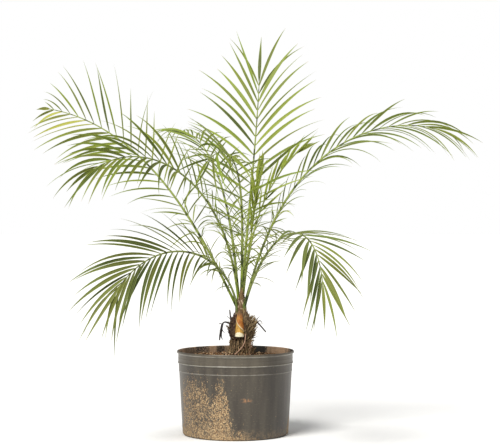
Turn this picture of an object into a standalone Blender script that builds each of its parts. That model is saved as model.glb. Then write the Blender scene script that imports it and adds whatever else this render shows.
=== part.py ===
"""Young pygmy date palm in a plastic nursery container. Metres, +Z up, front toward -Y."""

import math
from collections import namedtuple

import bmesh
import bpy
import numpy as np
from mathutils import Vector

# Container: radii are set in from the rim, heights down from it or up from the ground
POT_HEIGHT = 0.200
RIM_RADIUS = 0.140
LIP_HEIGHT = 0.0062
LIP_PROUD = 0.0032
BAND_HEIGHT = 0.0226
STEP_IN = 0.0023
STEP_HEIGHT = 0.0186
TAPER = 0.0083
POT_WALL = 0.0018
RIDGE = 0.0009
FOOT_IN = 0.0082
FOOT_WIDTH = 0.018
GROOVE_INNER = 0.060
GROOVE_SLOPE = 0.005
GROOVE_RISE = 0.004
PAD_RADIUS = 0.052
DRAIN_HOLES = 8
DRAIN_RADIUS = 0.0065
DRAIN_STEPS = 12
POT_STEPS = 40

BAND_RADIUS = RIM_RADIUS - LIP_PROUD
BODY_RADIUS = BAND_RADIUS - STEP_IN
BASE_RADIUS = BODY_RADIUS - TAPER
LIP_BOTTOM = POT_HEIGHT - LIP_HEIGHT
BAND_BOTTOM = LIP_BOTTOM - BAND_HEIGHT
STEP_BOTTOM = BAND_BOTTOM - STEP_HEIGHT
FOOT_OUTER = BASE_RADIUS - FOOT_IN
FOOT_INNER = FOOT_OUTER - FOOT_WIDTH
GROOVE_OUTER = FOOT_INNER - GROOVE_SLOPE

# Soil, stem and what grows round it: heights above the soil, thicknesses over the stem
SEAT_GAP = 0.0003
SOIL_BELOW_RIM = 0.018
SOIL_MOUND = 0.010
MOUND_AT = (0.265, 0.53, 0.80)
MOUND_SHARE = (1.0, 0.55, 0.15)
STEM_X = 0.013
STEM_RADIUS = 0.016
STEM_HEIGHT = 0.156
STEM_SHOULDER = 0.020
STEM_CHAMFER = 0.006
STEM_TOP_SHARE = 0.72
STEM_CAP_SHARE = 0.43
STEM_SUNK = 0.004
CROWN_HEIGHT = 0.0427
CROWN_THICK = 0.020
CROWN_SHAPE = ((0.50, 1.0), (0.75, 0.81), (0.85, 0.52), (1.0, 0.19), (0.70, -0.23), (0.10, -0.47))
SHEATH_HEIGHT = 0.105
SHEATH_THICK = 0.021
SHEATH_SHAPE = ((0.24, 1.0), (0.67, 0.84), (0.95, 0.61), (1.0, 0.35), (0.76, 0.13), (0.38, 0.0))
STEM_STEPS = 24
NOTCH_DEPTH = 0.022

SOIL_LEVEL = POT_HEIGHT - SOIL_BELOW_RIM
STEM_BASE = SOIL_LEVEL + STEM_SUNK
STEM_TOP = SOIL_LEVEL + STEM_HEIGHT
CROWN_TOP = SOIL_LEVEL + CROWN_HEIGHT
SHEATH_BASE = CROWN_TOP + SEAT_GAP
SHEATH_TOP = SOIL_LEVEL + SHEATH_HEIGHT

# Fronds
FROND_LENGTH = 0.700
LEAFLET_LENGTH = 0.215
LEAFLET_WIDTH = 0.0085
LEAFLET_THICK = 0.0012
LEAFLET_STEPS = 3
LEAFLET_GAP = 0.0009
OWN_GAP = 0.0003
STALK_STEPS = 80
STALK_HALF = 0.0034
STALK_DEPTH = 0.8
STALK_AT = (0.0, 0.04, 0.09, 0.2, 0.5, 1.0)
STALK_SHARE = (0.56, 0.71, 0.91, 1.0, 0.74, 0.29)
STALK_ROD_STEPS = 4
BARE_RINGS = 7
JOINT_HALF = 0.0019
POCKET_SHARE = 0.11
POCKET_RINGS = 4
WIDTH_AT = (0.0, 0.12, 0.33, 0.66, 1.0)
WIDTH_SHARE = (0.40, 0.80, 1.00, 0.72, 0.08)
THICK_SHARE = (1.4, 1.0, 0.9, 0.5)
SPACING_POWER = 0.93
SAG_POWER = 1.3
BASE_LOSS = 0.55
LENGTH_JITTER = 0.05
FORWARD_JITTER = 2.0
LIFT_JITTER = 4.0
DROOP_JITTER = 0.2
END_SHARE = 0.75
LIFT_CHANGES = range(-30, 31, 4)
FORWARD_CHANGES = range(-16, 17, 4)
FORWARD_COST = 1.5
LENGTH_CHANGES = (1.0, 0.85, 0.7, 0.5, 0.3)
RIM_RODS = 24
TUFT_ROOM = 1.2
SEED = 7

SMOOTH_ANGLE = math.radians(35)

Frond = namedtuple(
    "Frond",
    "name seat out seat_azimuth azimuth base_elev tip_elev bend sweep length "
    "bare pairs leaflet tip_loss forward_base forward_tip lift droop roll twist",
)
# Seat is metres below the stem's top, out is in stalk half-widths from the stem's axis, length
# and leaflet are shares of the longest, angles are degrees. Roll and twist turn the blade
# about its stalk.
FRONDS = (
    Frond("frond_upright", 0.020, 2.10, 80, 54, 82, 64, 1.5, 31, 0.80,
          0.25, 17, 1.02, 0.12, 70, 17, 10, 0.25, 0, 0),
    Frond("frond_right", 0.024, 2.96, 8, 11, 74, -17, 1.75, -16, 1.00,
          0.26, 22, 0.80, 0.25, 66, 16, 14, 0.80, 10, 30),
    Frond("frond_low_right", 0.033, 3.53, -50, -49, 65, -77, 1.5, -25, 0.71,
          0.36, 18, 0.75, 0.25, 60, 16, 10, 0.45, -15, 20),
    Frond("frond_low_left", 0.042, 3.67, 221, 221, 87, -52, 0.8, -1, 0.64,
          0.26, 20, 0.91, 0.25, 60, 14, 6, 0.50, -46, 0),
    Frond("frond_far_left", 0.034, 3.10, 167, 167, 63, 10, 2.0, 1, 1.00,
          0.30, 21, 0.84, 0.74, 62, 32, 14, 0.45, -25, -45),
    Frond("frond_mid_left", 0.026, 1.79, 205, 214, 83, -30, 1.42, 10, 0.885,
          0.28, 21, 0.81, 0.25, 70, 14, 18, 0.70, -30, -20),
    Frond("frond_front", 0.020, 2.12, 278, 278, 81, -27, 1.5, -29, 0.857,
          0.25, 19, 0.77, 0.25, 72, 16, 12, 0.50, 0, -50),
    Frond("frond_behind", 0.028, 2.21, 130, 112, 78, 5, 1.7, 8, 0.857,
          0.28, 18, 0.74, 0.25, 70, 16, 12, 0.60, 0, 0),
    Frond("spear_leaf", 0.008, 0.52, -40, -18, 80, 82, 1.0, 0, 0.41,
          0.50, 9, 0.46, 0.25, 13, 6, 10, 0.00, 0, 0),
    Frond("young_leaf", 0.010, 1.98, 28, 36, 83, 40, 1.57, -11, 0.564,
          0.40, 8, 0.51, 0.25, 24, 9, 10, 0.05, 0, 0),
)  # fmt: skip

Stalk = namedtuple("Stalk", "points along face side")
Leaflet = namedtuple("Leaflet", "share row line")
Stub = namedtuple("Stub", "name azimuth path half")
# A path is (out from the stem's skin, height over the fibre's top), half its half-widths.
STUBS = (
    Stub("dead_stalk_left", 205,
         ((0.0135, -0.023), (0.0260, -0.019), (0.0340, -0.027), (0.0378, -0.044), (0.0400, -0.062)),
         (0.0035, 0.0030, 0.0032, 0.0036, 0.0014)),
    Stub("dead_stalk_right", -13,
         ((0.0117, -0.025), (0.0221, -0.020), (0.0325, -0.029), (0.0450, -0.043)),
         (0.0032, 0.0030, 0.0028, 0.0014)),
    Stub("dead_stalk_upright", 173, ((0.0054, -0.025), (0.0092, -0.008), (0.0111, 0.009)),
         (0.0030, 0.0026, 0.0012)),
)  # fmt: skip
LEAF_BASE = Stub("cut_leaf_base", -92,
                 ((0.0046, -0.006), (0.0085, -0.025), (0.0115, -0.040), (0.0145, -0.053)),
                 (0.0045, 0.0105, 0.0120, 0.0105))  # fmt: skip
LEAF_BASE_DEPTH = (0.0030, 0.0050, 0.0065, 0.0060)

LEAF_GREEN = (0.17, 0.25, 0.06)
YOUNG_GREEN = (0.26, 0.36, 0.09)
OLD_GREEN = (0.12, 0.18, 0.06)
POT_GREY = (0.045, 0.046, 0.040)
SOIL_BROWN = (0.13, 0.075, 0.04)
STEM_BROWN = (0.28, 0.21, 0.08)
FIBRE_BROWN = (0.15, 0.09, 0.05)
ROOT_BROWN = (0.11, 0.065, 0.04)
CUT_ORANGE = (0.52, 0.27, 0.10)
DEAD_BROWN = (0.10, 0.07, 0.05)
LEAF_ROUGH = 0.45
POT_ROUGH = 0.5
EARTH_ROUGH = 0.9


def clear_scene():
    for obj in list(bpy.data.objects):
        bpy.data.objects.remove(obj)


def new_collection(name, parent, hidden=False):
    made = bpy.data.collections.new(name)
    made.hide_render = hidden
    parent.children.link(made)
    return made


def material(name, colour, roughness):
    made = bpy.data.materials.new(name)
    made.use_nodes = True
    shader = made.node_tree.nodes["Principled BSDF"]
    shader.inputs["Base Color"].default_value = (*colour, 1.0)
    shader.inputs["Roughness"].default_value = roughness
    shader.inputs["Metallic"].default_value = 0.0
    return made


def as_object(name, mesh, collection, colour=None, roughness=EARTH_ROUGH):
    obj = bpy.data.objects.new(name, mesh)
    collection.objects.link(obj)
    if colour:
        mesh.materials.append(material(name, colour, roughness))
        mesh.shade_smooth()
        mesh.set_sharp_from_angle(angle=SMOOTH_ANGLE)
    return obj


def as_cutter(obj):
    obj.hide_render = True
    obj.display_type = "WIRE"


def cut_with(obj, cutter=None, cutters=None):
    change = obj.modifiers.new("cut", "BOOLEAN")
    change.operation = "DIFFERENCE"
    change.solver = "EXACT"
    if cutters:
        change.operand_type = "COLLECTION"
        change.collection = cutters
    else:
        change.object = cutter


def turned(name, profile, steps, collection, colour=None, axis_x=0.0, roughness=EARTH_ROUGH, closed=False):
    """Screws a profile of (radius, height) points about a vertical axis at axis_x."""
    count = len(profile)
    edges = [(i, i + 1) for i in range(count - 1)] + ([(count - 1, 0)] if closed else [])
    mesh = bpy.data.meshes.new(name)
    mesh.from_pydata([(radius, 0.0, height) for radius, height in profile], edges, [])
    obj = as_object(name, mesh, collection, colour, roughness)
    obj.location.x = axis_x
    screw = obj.modifiers.new("turn", "SCREW")
    screw.steps = steps
    screw.render_steps = steps
    screw.use_merge_vertices = True
    screw.merge_threshold = 0.00001
    screw.use_smooth_shade = True
    return obj


# Container and soil


def pot_profile():
    inner_rim = RIM_RADIUS - 2 * POT_WALL
    outer = [
        (RIM_RADIUS - POT_WALL, POT_HEIGHT),
        (RIM_RADIUS - RIDGE / 2, POT_HEIGHT - RIDGE),
        (RIM_RADIUS, POT_HEIGHT - 2 * RIDGE),
        (RIM_RADIUS, LIP_BOTTOM + RIDGE),
        (RIM_RADIUS - RIDGE, LIP_BOTTOM),
        (BAND_RADIUS, LIP_BOTTOM - RIDGE),
        (BAND_RADIUS, BAND_BOTTOM + 2 * RIDGE),
        (BAND_RADIUS + RIDGE, BAND_BOTTOM + RIDGE),
        (BAND_RADIUS + RIDGE, BAND_BOTTOM),
        (BODY_RADIUS + RIDGE, BAND_BOTTOM - RIDGE),
        (BODY_RADIUS + RIDGE / 2, STEP_BOTTOM + RIDGE),
        (BODY_RADIUS + RIDGE, STEP_BOTTOM),
        (BODY_RADIUS, STEP_BOTTOM - 2 * RIDGE),
        (BASE_RADIUS, 2 * POT_WALL),
        (BASE_RADIUS - POT_WALL, POT_WALL),
        (FOOT_OUTER, 0.0),
        (FOOT_INNER, 0.0),
        (GROOVE_OUTER, GROOVE_RISE),
        (GROOVE_INNER, GROOVE_RISE),
        (PAD_RADIUS, 0.0),
        (0.0, 0.0),
    ]
    inner = [
        (0.0, POT_WALL),
        (PAD_RADIUS - POT_WALL / 2, POT_WALL),
        (GROOVE_INNER, GROOVE_RISE + POT_WALL),
        (GROOVE_OUTER, GROOVE_RISE + POT_WALL),
        (FOOT_INNER + POT_WALL / 2, POT_WALL),
        (BASE_RADIUS - 3 * POT_WALL, POT_WALL),
        (BASE_RADIUS - POT_WALL, 3 * POT_WALL),
        (BODY_RADIUS - POT_WALL, STEP_BOTTOM),
        (BAND_RADIUS - POT_WALL, BAND_BOTTOM + RIDGE),
        (inner_rim, POT_HEIGHT - RIDGE),
    ]
    return inner + outer


def drain_cutter(collection):
    build = bmesh.new()
    middle = (GROOVE_INNER + GROOVE_OUTER) / 2
    for hole in range(DRAIN_HOLES):
        angle = 2 * math.pi * (hole + 0.5) / DRAIN_HOLES
        made = bmesh.ops.create_cone(
            build, cap_ends=True, segments=DRAIN_STEPS,
            radius1=DRAIN_RADIUS, radius2=DRAIN_RADIUS, depth=4 * GROOVE_RISE,
        )
        centre = Vector((middle * math.cos(angle), middle * math.sin(angle), GROOVE_RISE))
        bmesh.ops.translate(build, verts=made["verts"], vec=centre)
    mesh = bpy.data.meshes.new("drain_cutter")
    build.to_mesh(mesh)
    build.free()
    cutter = as_object("drain_cutter", mesh, collection)
    as_cutter(cutter)
    return cutter


def make_pot(parts, cutters):
    pot = turned("nursery_pot", pot_profile(), POT_STEPS, parts, POT_GREY, roughness=POT_ROUGH)
    cut_with(pot, drain_cutter(cutters))


def soil_profile():
    """The root ball: it follows the container's inside at the seat gap, and mounds to the stem."""
    low = POT_WALL + SEAT_GAP
    floor = GROOVE_RISE + low
    wall = BODY_RADIUS - POT_WALL - 2 * SEAT_GAP
    mound = [(out * wall, SOIL_LEVEL + share * SOIL_MOUND) for out, share in zip(MOUND_AT, MOUND_SHARE)]
    return [
        (0.0, SOIL_LEVEL + SOIL_MOUND),
        *mound,
        (wall - 2 * POT_WALL, SOIL_LEVEL),
        (wall, SOIL_LEVEL - 2 * POT_WALL),
        (wall, STEP_BOTTOM),
        (BASE_RADIUS - 2 * POT_WALL, 3 * POT_WALL + SEAT_GAP),
        (BASE_RADIUS - 4 * POT_WALL, low),
        (FOOT_INNER + 2 * POT_WALL, low),
        (GROOVE_OUTER, floor),
        (GROOVE_INNER, floor),
        (PAD_RADIUS - 2 * POT_WALL, low),
        (0.0, low),
    ]


def crown_outline(grown=0.0):
    """The root mass, from its top edge down; it is widest where it meets the soil."""
    outline = [
        (STEM_RADIUS + CROWN_THICK * out + grown, SOIL_LEVEL + CROWN_HEIGHT * up) for out, up in CROWN_SHAPE
    ]
    foot, base = outline[-1][0], outline[-1][1] - grown
    return [*outline[:-1], (foot, base), (0.0, base)]


def make_soil(parts, cutters):
    soil = turned("potting_soil", soil_profile(), POT_STEPS, parts, SOIL_BROWN)
    lid = (0.0, CROWN_TOP)
    pocket = turned("crown_pocket", [lid, *crown_outline(SEAT_GAP)], STEM_STEPS, cutters, axis_x=STEM_X)
    as_cutter(pocket)
    cut_with(soil, pocket)


def make_root_crown(parts):
    bore = [
        (0.0, STEM_BASE - SEAT_GAP),
        (STEM_RADIUS + SEAT_GAP, STEM_BASE - SEAT_GAP),
        (STEM_RADIUS + SEAT_GAP, CROWN_TOP),
    ]
    turned("root_crown", bore + crown_outline(), STEM_STEPS, parts, ROOT_BROWN, axis_x=STEM_X)


# Bodies drawn along a path


def unit(vectors):
    return vectors / np.linalg.norm(vectors, axis=-1, keepdims=True)


class Tube:
    """A closed four-sided body that is extruded ring by ring; corners remember their side."""

    def __init__(self, first, second):
        self.build = bmesh.new()
        made = bmesh.ops.create_cube(self.build, size=2.0)
        self.corner = {vert: (vert.co.x, vert.co.y) for vert in made["verts"]}
        low = [vert for vert in made["verts"] if vert.co.z < 0]
        self.top = next(face for face in self.build.faces if all(vert.co.z > 0 for vert in face.verts))
        self.shape(low, *first)
        self.shape(self.top.verts, *second)

    def shape(self, verts, centre, across, depth):
        for vert in verts:
            right, up = self.corner[vert]
            vert.co = Vector(centre + right * across + up * depth)

    def extrude(self, face, corner):
        """Extrudes one face and gives its new corners the old ones' sides."""
        sides = [corner[vert] for vert in face.verts]
        made = bmesh.ops.extrude_discrete_faces(self.build, faces=[face])["faces"][0]
        corner.update(zip(made.verts, sides))
        return made

    def extend(self, centre, across, depth):
        self.top = self.extrude(self.top, self.corner)
        self.shape(self.top.verts, centre, across, depth)

    def side_face(self, right):
        """The last ring's side face toward +right or -right."""
        for edge in self.top.edges:
            if all(self.corner[vert][0] == right for vert in edge.verts):
                return next(face for face in edge.link_faces if face is not self.top)
        raise ValueError("the ring has lost a side")

    def blade(self, face, corner, line, broad):
        """Draws a leaflet out of a face: broad is the direction of its width at the root."""
        steps = len(line) - 1
        for step in range(1, steps + 1):
            ahead = unit(line[min(step + 1, steps)] - line[step - 1])
            broad = unit(broad - ahead * np.dot(broad, ahead))
            thin = np.cross(ahead, broad)
            half = LEAFLET_WIDTH * np.interp(step / steps, WIDTH_AT, WIDTH_SHARE) / 2
            deep = LEAFLET_THICK * THICK_SHARE[step] / 2
            face = self.extrude(face, corner)
            for vert in face.verts:
                right, up = corner[vert]
                vert.co = Vector(line[step] + right * half * broad + up * deep * thin)

    def to_mesh(self, name):
        mesh = bpy.data.meshes.new(name)
        bmesh.ops.recalc_face_normals(self.build, faces=self.build.faces)
        self.build.to_mesh(mesh)
        self.build.free()
        return mesh


def stub_mesh(stub, depths, grown=0.0, forward=0.0):
    """A tapered body that leaves the stem at an azimuth. Forward deepens it outward, for a notch."""
    angle = math.radians(stub.azimuth)
    outward = np.array((math.cos(angle), math.sin(angle), 0.0))
    path = np.array(stub.path)
    foot = np.array((STEM_X, 0.0, SHEATH_TOP))
    points = foot + (STEM_RADIUS + path[:, :1]) * outward + path[:, 1:] * np.array((0.0, 0.0, 1.0))
    ahead = unit(np.gradient(points, axis=0))
    across = np.tile(np.cross((0.0, 0.0, 1.0), outward), (len(points), 1))
    back = np.cross(ahead, across)
    points[0] -= ahead[0] * grown
    points[-1] += ahead[-1] * grown
    points = points - back * forward
    rings = [
        (point, (half + grown) * sideways, (deep + grown + forward) * rear)
        for point, half, deep, sideways, rear in zip(points, stub.half, depths, across, back)
    ]
    tube = Tube(rings[0], rings[1])
    for ring in rings[2:]:
        tube.extend(*ring)
    return tube.to_mesh(stub.name)


# Growth: every leaflet is turned until it clears the other fronds


def seat_of(frond):
    angle = math.radians(frond.seat_azimuth)
    reach = frond.out * STALK_HALF
    return np.array((STEM_X + reach * math.cos(angle), reach * math.sin(angle), STEM_TOP - frond.seat))


def stalk_of(frond):
    """The stalk's middle line, with its direction, its upper face and its side at each step."""
    share = np.linspace(0.0, 1.0, STALK_STEPS + 1)
    elevation = np.radians(frond.base_elev + (frond.tip_elev - frond.base_elev) * share**frond.bend)
    azimuth = np.radians(frond.azimuth + frond.sweep * share)
    level, rise = np.cos(elevation), np.sin(elevation)
    east, north = np.cos(azimuth), np.sin(azimuth)
    along = np.stack([level * east, level * north, rise], axis=1)
    upper = np.stack([-rise * east, -rise * north, level], axis=1)
    beside = np.cross(along, upper)
    roll = np.radians(frond.roll + frond.twist * share)[:, None]
    step = (along[1:] + along[:-1]) / 2 * frond.length * FROND_LENGTH / STALK_STEPS
    points = seat_of(frond) + np.concatenate([np.zeros((1, 3)), np.cumsum(step, axis=0)])
    face = upper * np.cos(roll) + beside * np.sin(roll)
    return Stalk(points, along, face, beside * np.cos(roll) - upper * np.sin(roll))


def at(table, share):
    place = min(max(share, 0.0), 1.0) * STALK_STEPS
    step = min(int(place), STALK_STEPS - 1)
    return table[step] * (step + 1 - place) + table[step + 1] * (place - step)


def stalk_half(share):
    return STALK_HALF * np.interp(share, STALK_AT, STALK_SHARE)


def leaflet_line(root, heading, length, droop):
    points = [root]
    for step in range(LEAFLET_STEPS):
        sag = droop * ((step + 0.5) / LEAFLET_STEPS) ** SAG_POWER
        ahead = unit(heading - np.array((0.0, 0.0, sag)))
        points.append(points[-1] + ahead * length / LEAFLET_STEPS)
    return np.array(points)


def segment_gaps(start, end, others_start, others_end):
    """The distance of every segment to every other one."""
    run, other = (end - start)[:, None], (others_end - others_start)[None]
    offset = start[:, None] - others_start[None]
    a, b, c = (run * run).sum(-1), (run * other).sum(-1), (other * other).sum(-1)
    d, e = (run * offset).sum(-1), (other * offset).sum(-1)
    spread = np.maximum(a * c - b * b, 1e-12)
    near = np.clip((b * e - c * d) / spread, 0.0, 1.0)
    far = np.clip((b * near + e) / c, 0.0, 1.0)
    near = np.clip((b * far - d) / a, 0.0, 1.0)
    gap = offset + run * near[..., None] - other * far[..., None]
    return np.sqrt((gap * gap).sum(-1))


class Crowd:
    """Everything placed so far, as round-ended rods."""

    def __init__(self):
        self.start = np.zeros((0, 3))
        self.end = np.zeros((0, 3))
        self.radius = np.zeros(0)
        self.owner = np.zeros(0, dtype=int)

    def add(self, line, radius, owner):
        self.start = np.concatenate([self.start, line[:-1]])
        self.end = np.concatenate([self.end, line[1:]])
        self.radius = np.concatenate([self.radius, radius])
        self.owner = np.concatenate([self.owner, np.full(len(radius), owner)])

    def room(self, line, radius, owner):
        """The least gap beyond what is wanted; the root may meet its own frond."""
        gap = segment_gaps(line[:-1], line[1:], self.start, self.end) - radius[:, None] - self.radius
        own = self.owner == owner
        least = (gap[:, ~own] - LEAFLET_GAP).min(initial=1.0)
        return min(least, (gap[1:, own] - OWN_GAP).min(initial=1.0))


def changes():
    """The turns and shortenings that a leaflet may take, the least change first."""
    turns = [(lift, forward) for lift in LIFT_CHANGES for forward in FORWARD_CHANGES]
    turns = sorted(turns + [(0, 0)], key=lambda turn: abs(turn[0]) + FORWARD_COST * abs(turn[1]))
    return [(*turn, share) for share in LENGTH_CHANGES for turn in turns]


def blade_radius():
    widths = LEAFLET_WIDTH * np.interp(np.linspace(0.0, 1.0, LEAFLET_STEPS + 1), WIDTH_AT, WIDTH_SHARE) / 2
    return np.maximum(widths[1:], widths[:-1])


def place_leaflet(frond, owner, stalk, crowd, spot, row, jitter, options):
    """One leaflet from the blade's spot (0 to 1), on row -1 or 1, or 0 for the end one."""
    share = 1.0 if row == 0 else frond.bare + (1 - frond.bare) * spot**SPACING_POWER
    ahead, face, side = at(stalk.along, share), at(stalk.face, share), at(stalk.side, share)
    loss = BASE_LOSS if spot < 0.5 else frond.tip_loss
    fall = 1 - loss * (2 * spot - 1) ** 2
    length = frond.leaflet * LEAFLET_LENGTH * fall * (1 + LENGTH_JITTER * jitter[0])
    length *= END_SHARE if row == 0 else 1.0
    forward = frond.forward_base + (frond.forward_tip - frond.forward_base) * spot
    forward += FORWARD_JITTER * jitter[1]
    forward = 0.0 if row == 0 else forward
    droop = frond.droop * (1 + DROOP_JITTER * jitter[3])
    root = at(stalk.points, share) + row * side * stalk_half(share)
    radius = blade_radius()
    best_room, best = -1.0, None
    for more_lift, more_forward, shorter in options:
        turn = math.radians(forward + more_forward)
        lift = math.radians(frond.lift + LIFT_JITTER * jitter[2] + more_lift)
        outward = math.cos(lift) * (row or 1) * side + math.sin(lift) * face
        line = leaflet_line(root, math.cos(turn) * ahead + math.sin(turn) * outward, length * shorter, droop)
        room = crowd.room(line, radius, owner)
        if room > best_room:
            best_room, best = room, line
        if room >= 0:
            break
    crowd.add(best, radius, owner)
    return Leaflet(share, row, best)


def add_obstacles(crowd):
    """The container's rim and the fibre round the stem, which leaflets hang clear of."""
    angle = np.linspace(0.0, 2 * math.pi, RIM_RODS + 1)
    height = np.full(RIM_RODS + 1, POT_HEIGHT)
    rim = np.stack([RIM_RADIUS * np.cos(angle), RIM_RADIUS * np.sin(angle), height], axis=1)
    crowd.add(rim, np.full(RIM_RODS, 2 * POT_WALL), -1)
    fibre = np.array([(STEM_X, 0.0, CROWN_TOP), (STEM_X, 0.0, SHEATH_TOP - STEM_RADIUS)])
    crowd.add(fibre, np.full(1, STEM_RADIUS + TUFT_ROOM * SHEATH_THICK), -1)


def grow_plant():
    rng = np.random.default_rng(SEED)
    crowd = Crowd()
    add_obstacles(crowd)
    stalks = [stalk_of(frond) for frond in FRONDS]
    for owner, stalk in enumerate(stalks):
        line = stalk.points[::STALK_ROD_STEPS]
        half = stalk_half(np.linspace(0.0, 1.0, len(line)))[:-1]
        crowd.add(line, half * math.hypot(1.0, STALK_DEPTH), owner)
    options = changes()
    leaflets = []
    for owner, (frond, stalk) in enumerate(zip(FRONDS, stalks)):
        spots = [((pair + 0.5) / frond.pairs, row) for pair in range(frond.pairs) for row in (-1, 1)]
        leaflets.append([
            place_leaflet(frond, owner, stalk, crowd, spot, row, rng.normal(size=4), options)
            for spot, row in spots + [(1.0, 0)]
        ])
    return stalks, leaflets


# Frond bodies


def stalk_ring(stalk, share, grown=0.0, shift=0.0):
    half = stalk_half(share) + grown
    deep = stalk_half(share) * STALK_DEPTH + grown
    centre = at(stalk.points, share) + at(stalk.along, share) * shift
    return centre, -half * at(stalk.side, share), deep * at(stalk.face, share)


def make_frond(frond, stalk, leaflets, parts, colour):
    bare = np.linspace(0.0, frond.bare, BARE_RINGS + 1)[:-1]
    tube = Tube(stalk_ring(stalk, bare[0]), stalk_ring(stalk, bare[1]))
    for share in bare[2:]:
        tube.extend(*stalk_ring(stalk, share))
    for left, right in zip(leaflets[:-1:2], leaflets[1:-1:2]):
        tube.extend(*stalk_ring(stalk, left.share, shift=-JOINT_HALF))
        tube.extend(*stalk_ring(stalk, left.share, shift=JOINT_HALF))
        for leaflet in (left, right):
            face = tube.side_face(-leaflet.row)
            ahead = {vert: 1 if vert in tube.top.verts else -1 for vert in face.verts}
            corner = {vert: (ahead[vert], leaflet.row * tube.corner[vert][1]) for vert in face.verts}
            tube.blade(face, corner, leaflet.line, at(stalk.along, left.share))
    tube.extend(*stalk_ring(stalk, 1.0))
    tube.blade(tube.top, dict(tube.corner), leaflets[-1].line, -at(stalk.side, 1.0))
    as_object(frond.name, tube.to_mesh(frond.name), parts, colour, LEAF_ROUGH)


def make_pocket(frond, stalk, pockets):
    """The stem's seat for one stalk: the stalk itself, grown by the seat gap."""
    shares = np.linspace(0.0, POCKET_SHARE, POCKET_RINGS)
    tube = Tube(stalk_ring(stalk, 0.0, SEAT_GAP, -SEAT_GAP), stalk_ring(stalk, shares[1], SEAT_GAP))
    for share in shares[2:]:
        tube.extend(*stalk_ring(stalk, share, SEAT_GAP))
    name = frond.name + "_pocket"
    as_cutter(as_object(name, tube.to_mesh(name), pockets))


# Stem


def make_stem(stalks, parts, cutters):
    profile = [
        (0.0, STEM_TOP),
        (STEM_RADIUS * STEM_CAP_SHARE, STEM_TOP - RIDGE),
        (STEM_RADIUS * STEM_TOP_SHARE, STEM_TOP - STEM_CHAMFER),
        (STEM_RADIUS, STEM_TOP - STEM_SHOULDER),
        (STEM_RADIUS, STEM_BASE),
        (0.0, STEM_BASE),
    ]
    stem = turned("stem", profile, STEM_STEPS, parts, STEM_BROWN, axis_x=STEM_X)
    pockets = new_collection("petiole_pockets", cutters, hidden=True)
    for frond, stalk in zip(FRONDS, stalks):
        make_pocket(frond, stalk, pockets)
    cut_with(stem, cutters=pockets)


def make_sheath(parts, cutters):
    """The brown fibre round the stem, notched for the cut leaf base and the dead stalks."""
    bore = STEM_RADIUS + SEAT_GAP
    tall = SHEATH_TOP - SHEATH_BASE
    outline = [(STEM_RADIUS + SHEATH_THICK * out, SHEATH_BASE + tall * up) for out, up in SHEATH_SHAPE]
    profile = [(bore, SHEATH_TOP), *outline, (bore, SHEATH_BASE)]
    sheath = turned("fibre_sheath", profile, STEM_STEPS, parts, FIBRE_BROWN, axis_x=STEM_X, closed=True)
    seats = new_collection("sheath_seats", cutters, hidden=True)
    for stub in STUBS:
        as_cutter(as_object(stub.name + "_seat", stub_mesh(stub, stub.half, SEAT_GAP), seats))
    notch = stub_mesh(LEAF_BASE, LEAF_BASE_DEPTH, SEAT_GAP, NOTCH_DEPTH)
    as_cutter(as_object("notch", notch, seats))
    cut_with(sheath, cutters=seats)


def make_old_bases(parts):
    as_object(LEAF_BASE.name, stub_mesh(LEAF_BASE, LEAF_BASE_DEPTH), parts, CUT_ORANGE)
    for stub in STUBS:
        as_object(stub.name, stub_mesh(stub, stub.half), parts, DEAD_BROWN)


def frond_colour(frond):
    if frond.name in ("spear_leaf", "young_leaf"):
        return YOUNG_GREEN
    return OLD_GREEN if frond.name in ("frond_low_left", "frond_low_right") else LEAF_GREEN


def main():
    clear_scene()
    scene = bpy.context.scene.collection
    parts = new_collection("potted_pygmy_date_palm", scene)
    cutters = new_collection("cutters", scene, hidden=True)
    make_pot(parts, cutters)
    make_soil(parts, cutters)
    make_root_crown(parts)
    stalks, leaflets = grow_plant()
    make_stem(stalks, parts, cutters)
    make_sheath(parts, cutters)
    make_old_bases(parts)
    for frond, stalk, own in zip(FRONDS, stalks, leaflets):
        make_frond(frond, stalk, own, parts, frond_colour(frond))


main()
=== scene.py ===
"""Finished surfaces, stage and lights for a young pygmy date palm in a nursery container."""

import math
from collections import namedtuple

import bmesh
import bpy
import numpy as np
from bpy.props import FloatProperty, FloatVectorProperty, IntProperty, PointerProperty
from mathutils import Matrix, Vector, noise


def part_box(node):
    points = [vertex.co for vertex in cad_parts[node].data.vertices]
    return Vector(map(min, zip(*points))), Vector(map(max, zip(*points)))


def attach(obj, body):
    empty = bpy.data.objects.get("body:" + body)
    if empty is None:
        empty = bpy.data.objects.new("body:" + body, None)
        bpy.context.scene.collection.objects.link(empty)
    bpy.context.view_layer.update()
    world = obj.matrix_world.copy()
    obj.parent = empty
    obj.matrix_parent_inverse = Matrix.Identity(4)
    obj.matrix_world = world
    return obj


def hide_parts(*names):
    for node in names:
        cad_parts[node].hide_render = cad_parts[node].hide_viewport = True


bl_info = {
    "name": "Potted Date Palm",
    "version": (1, 0, 0),
    "blender": (4, 5, 0),
    "location": "View3D > Sidebar > Palm",
    "description": "Builds a pygmy date palm in its nursery container, leaflet by leaflet",
    "category": "Add Mesh",
}

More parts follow.
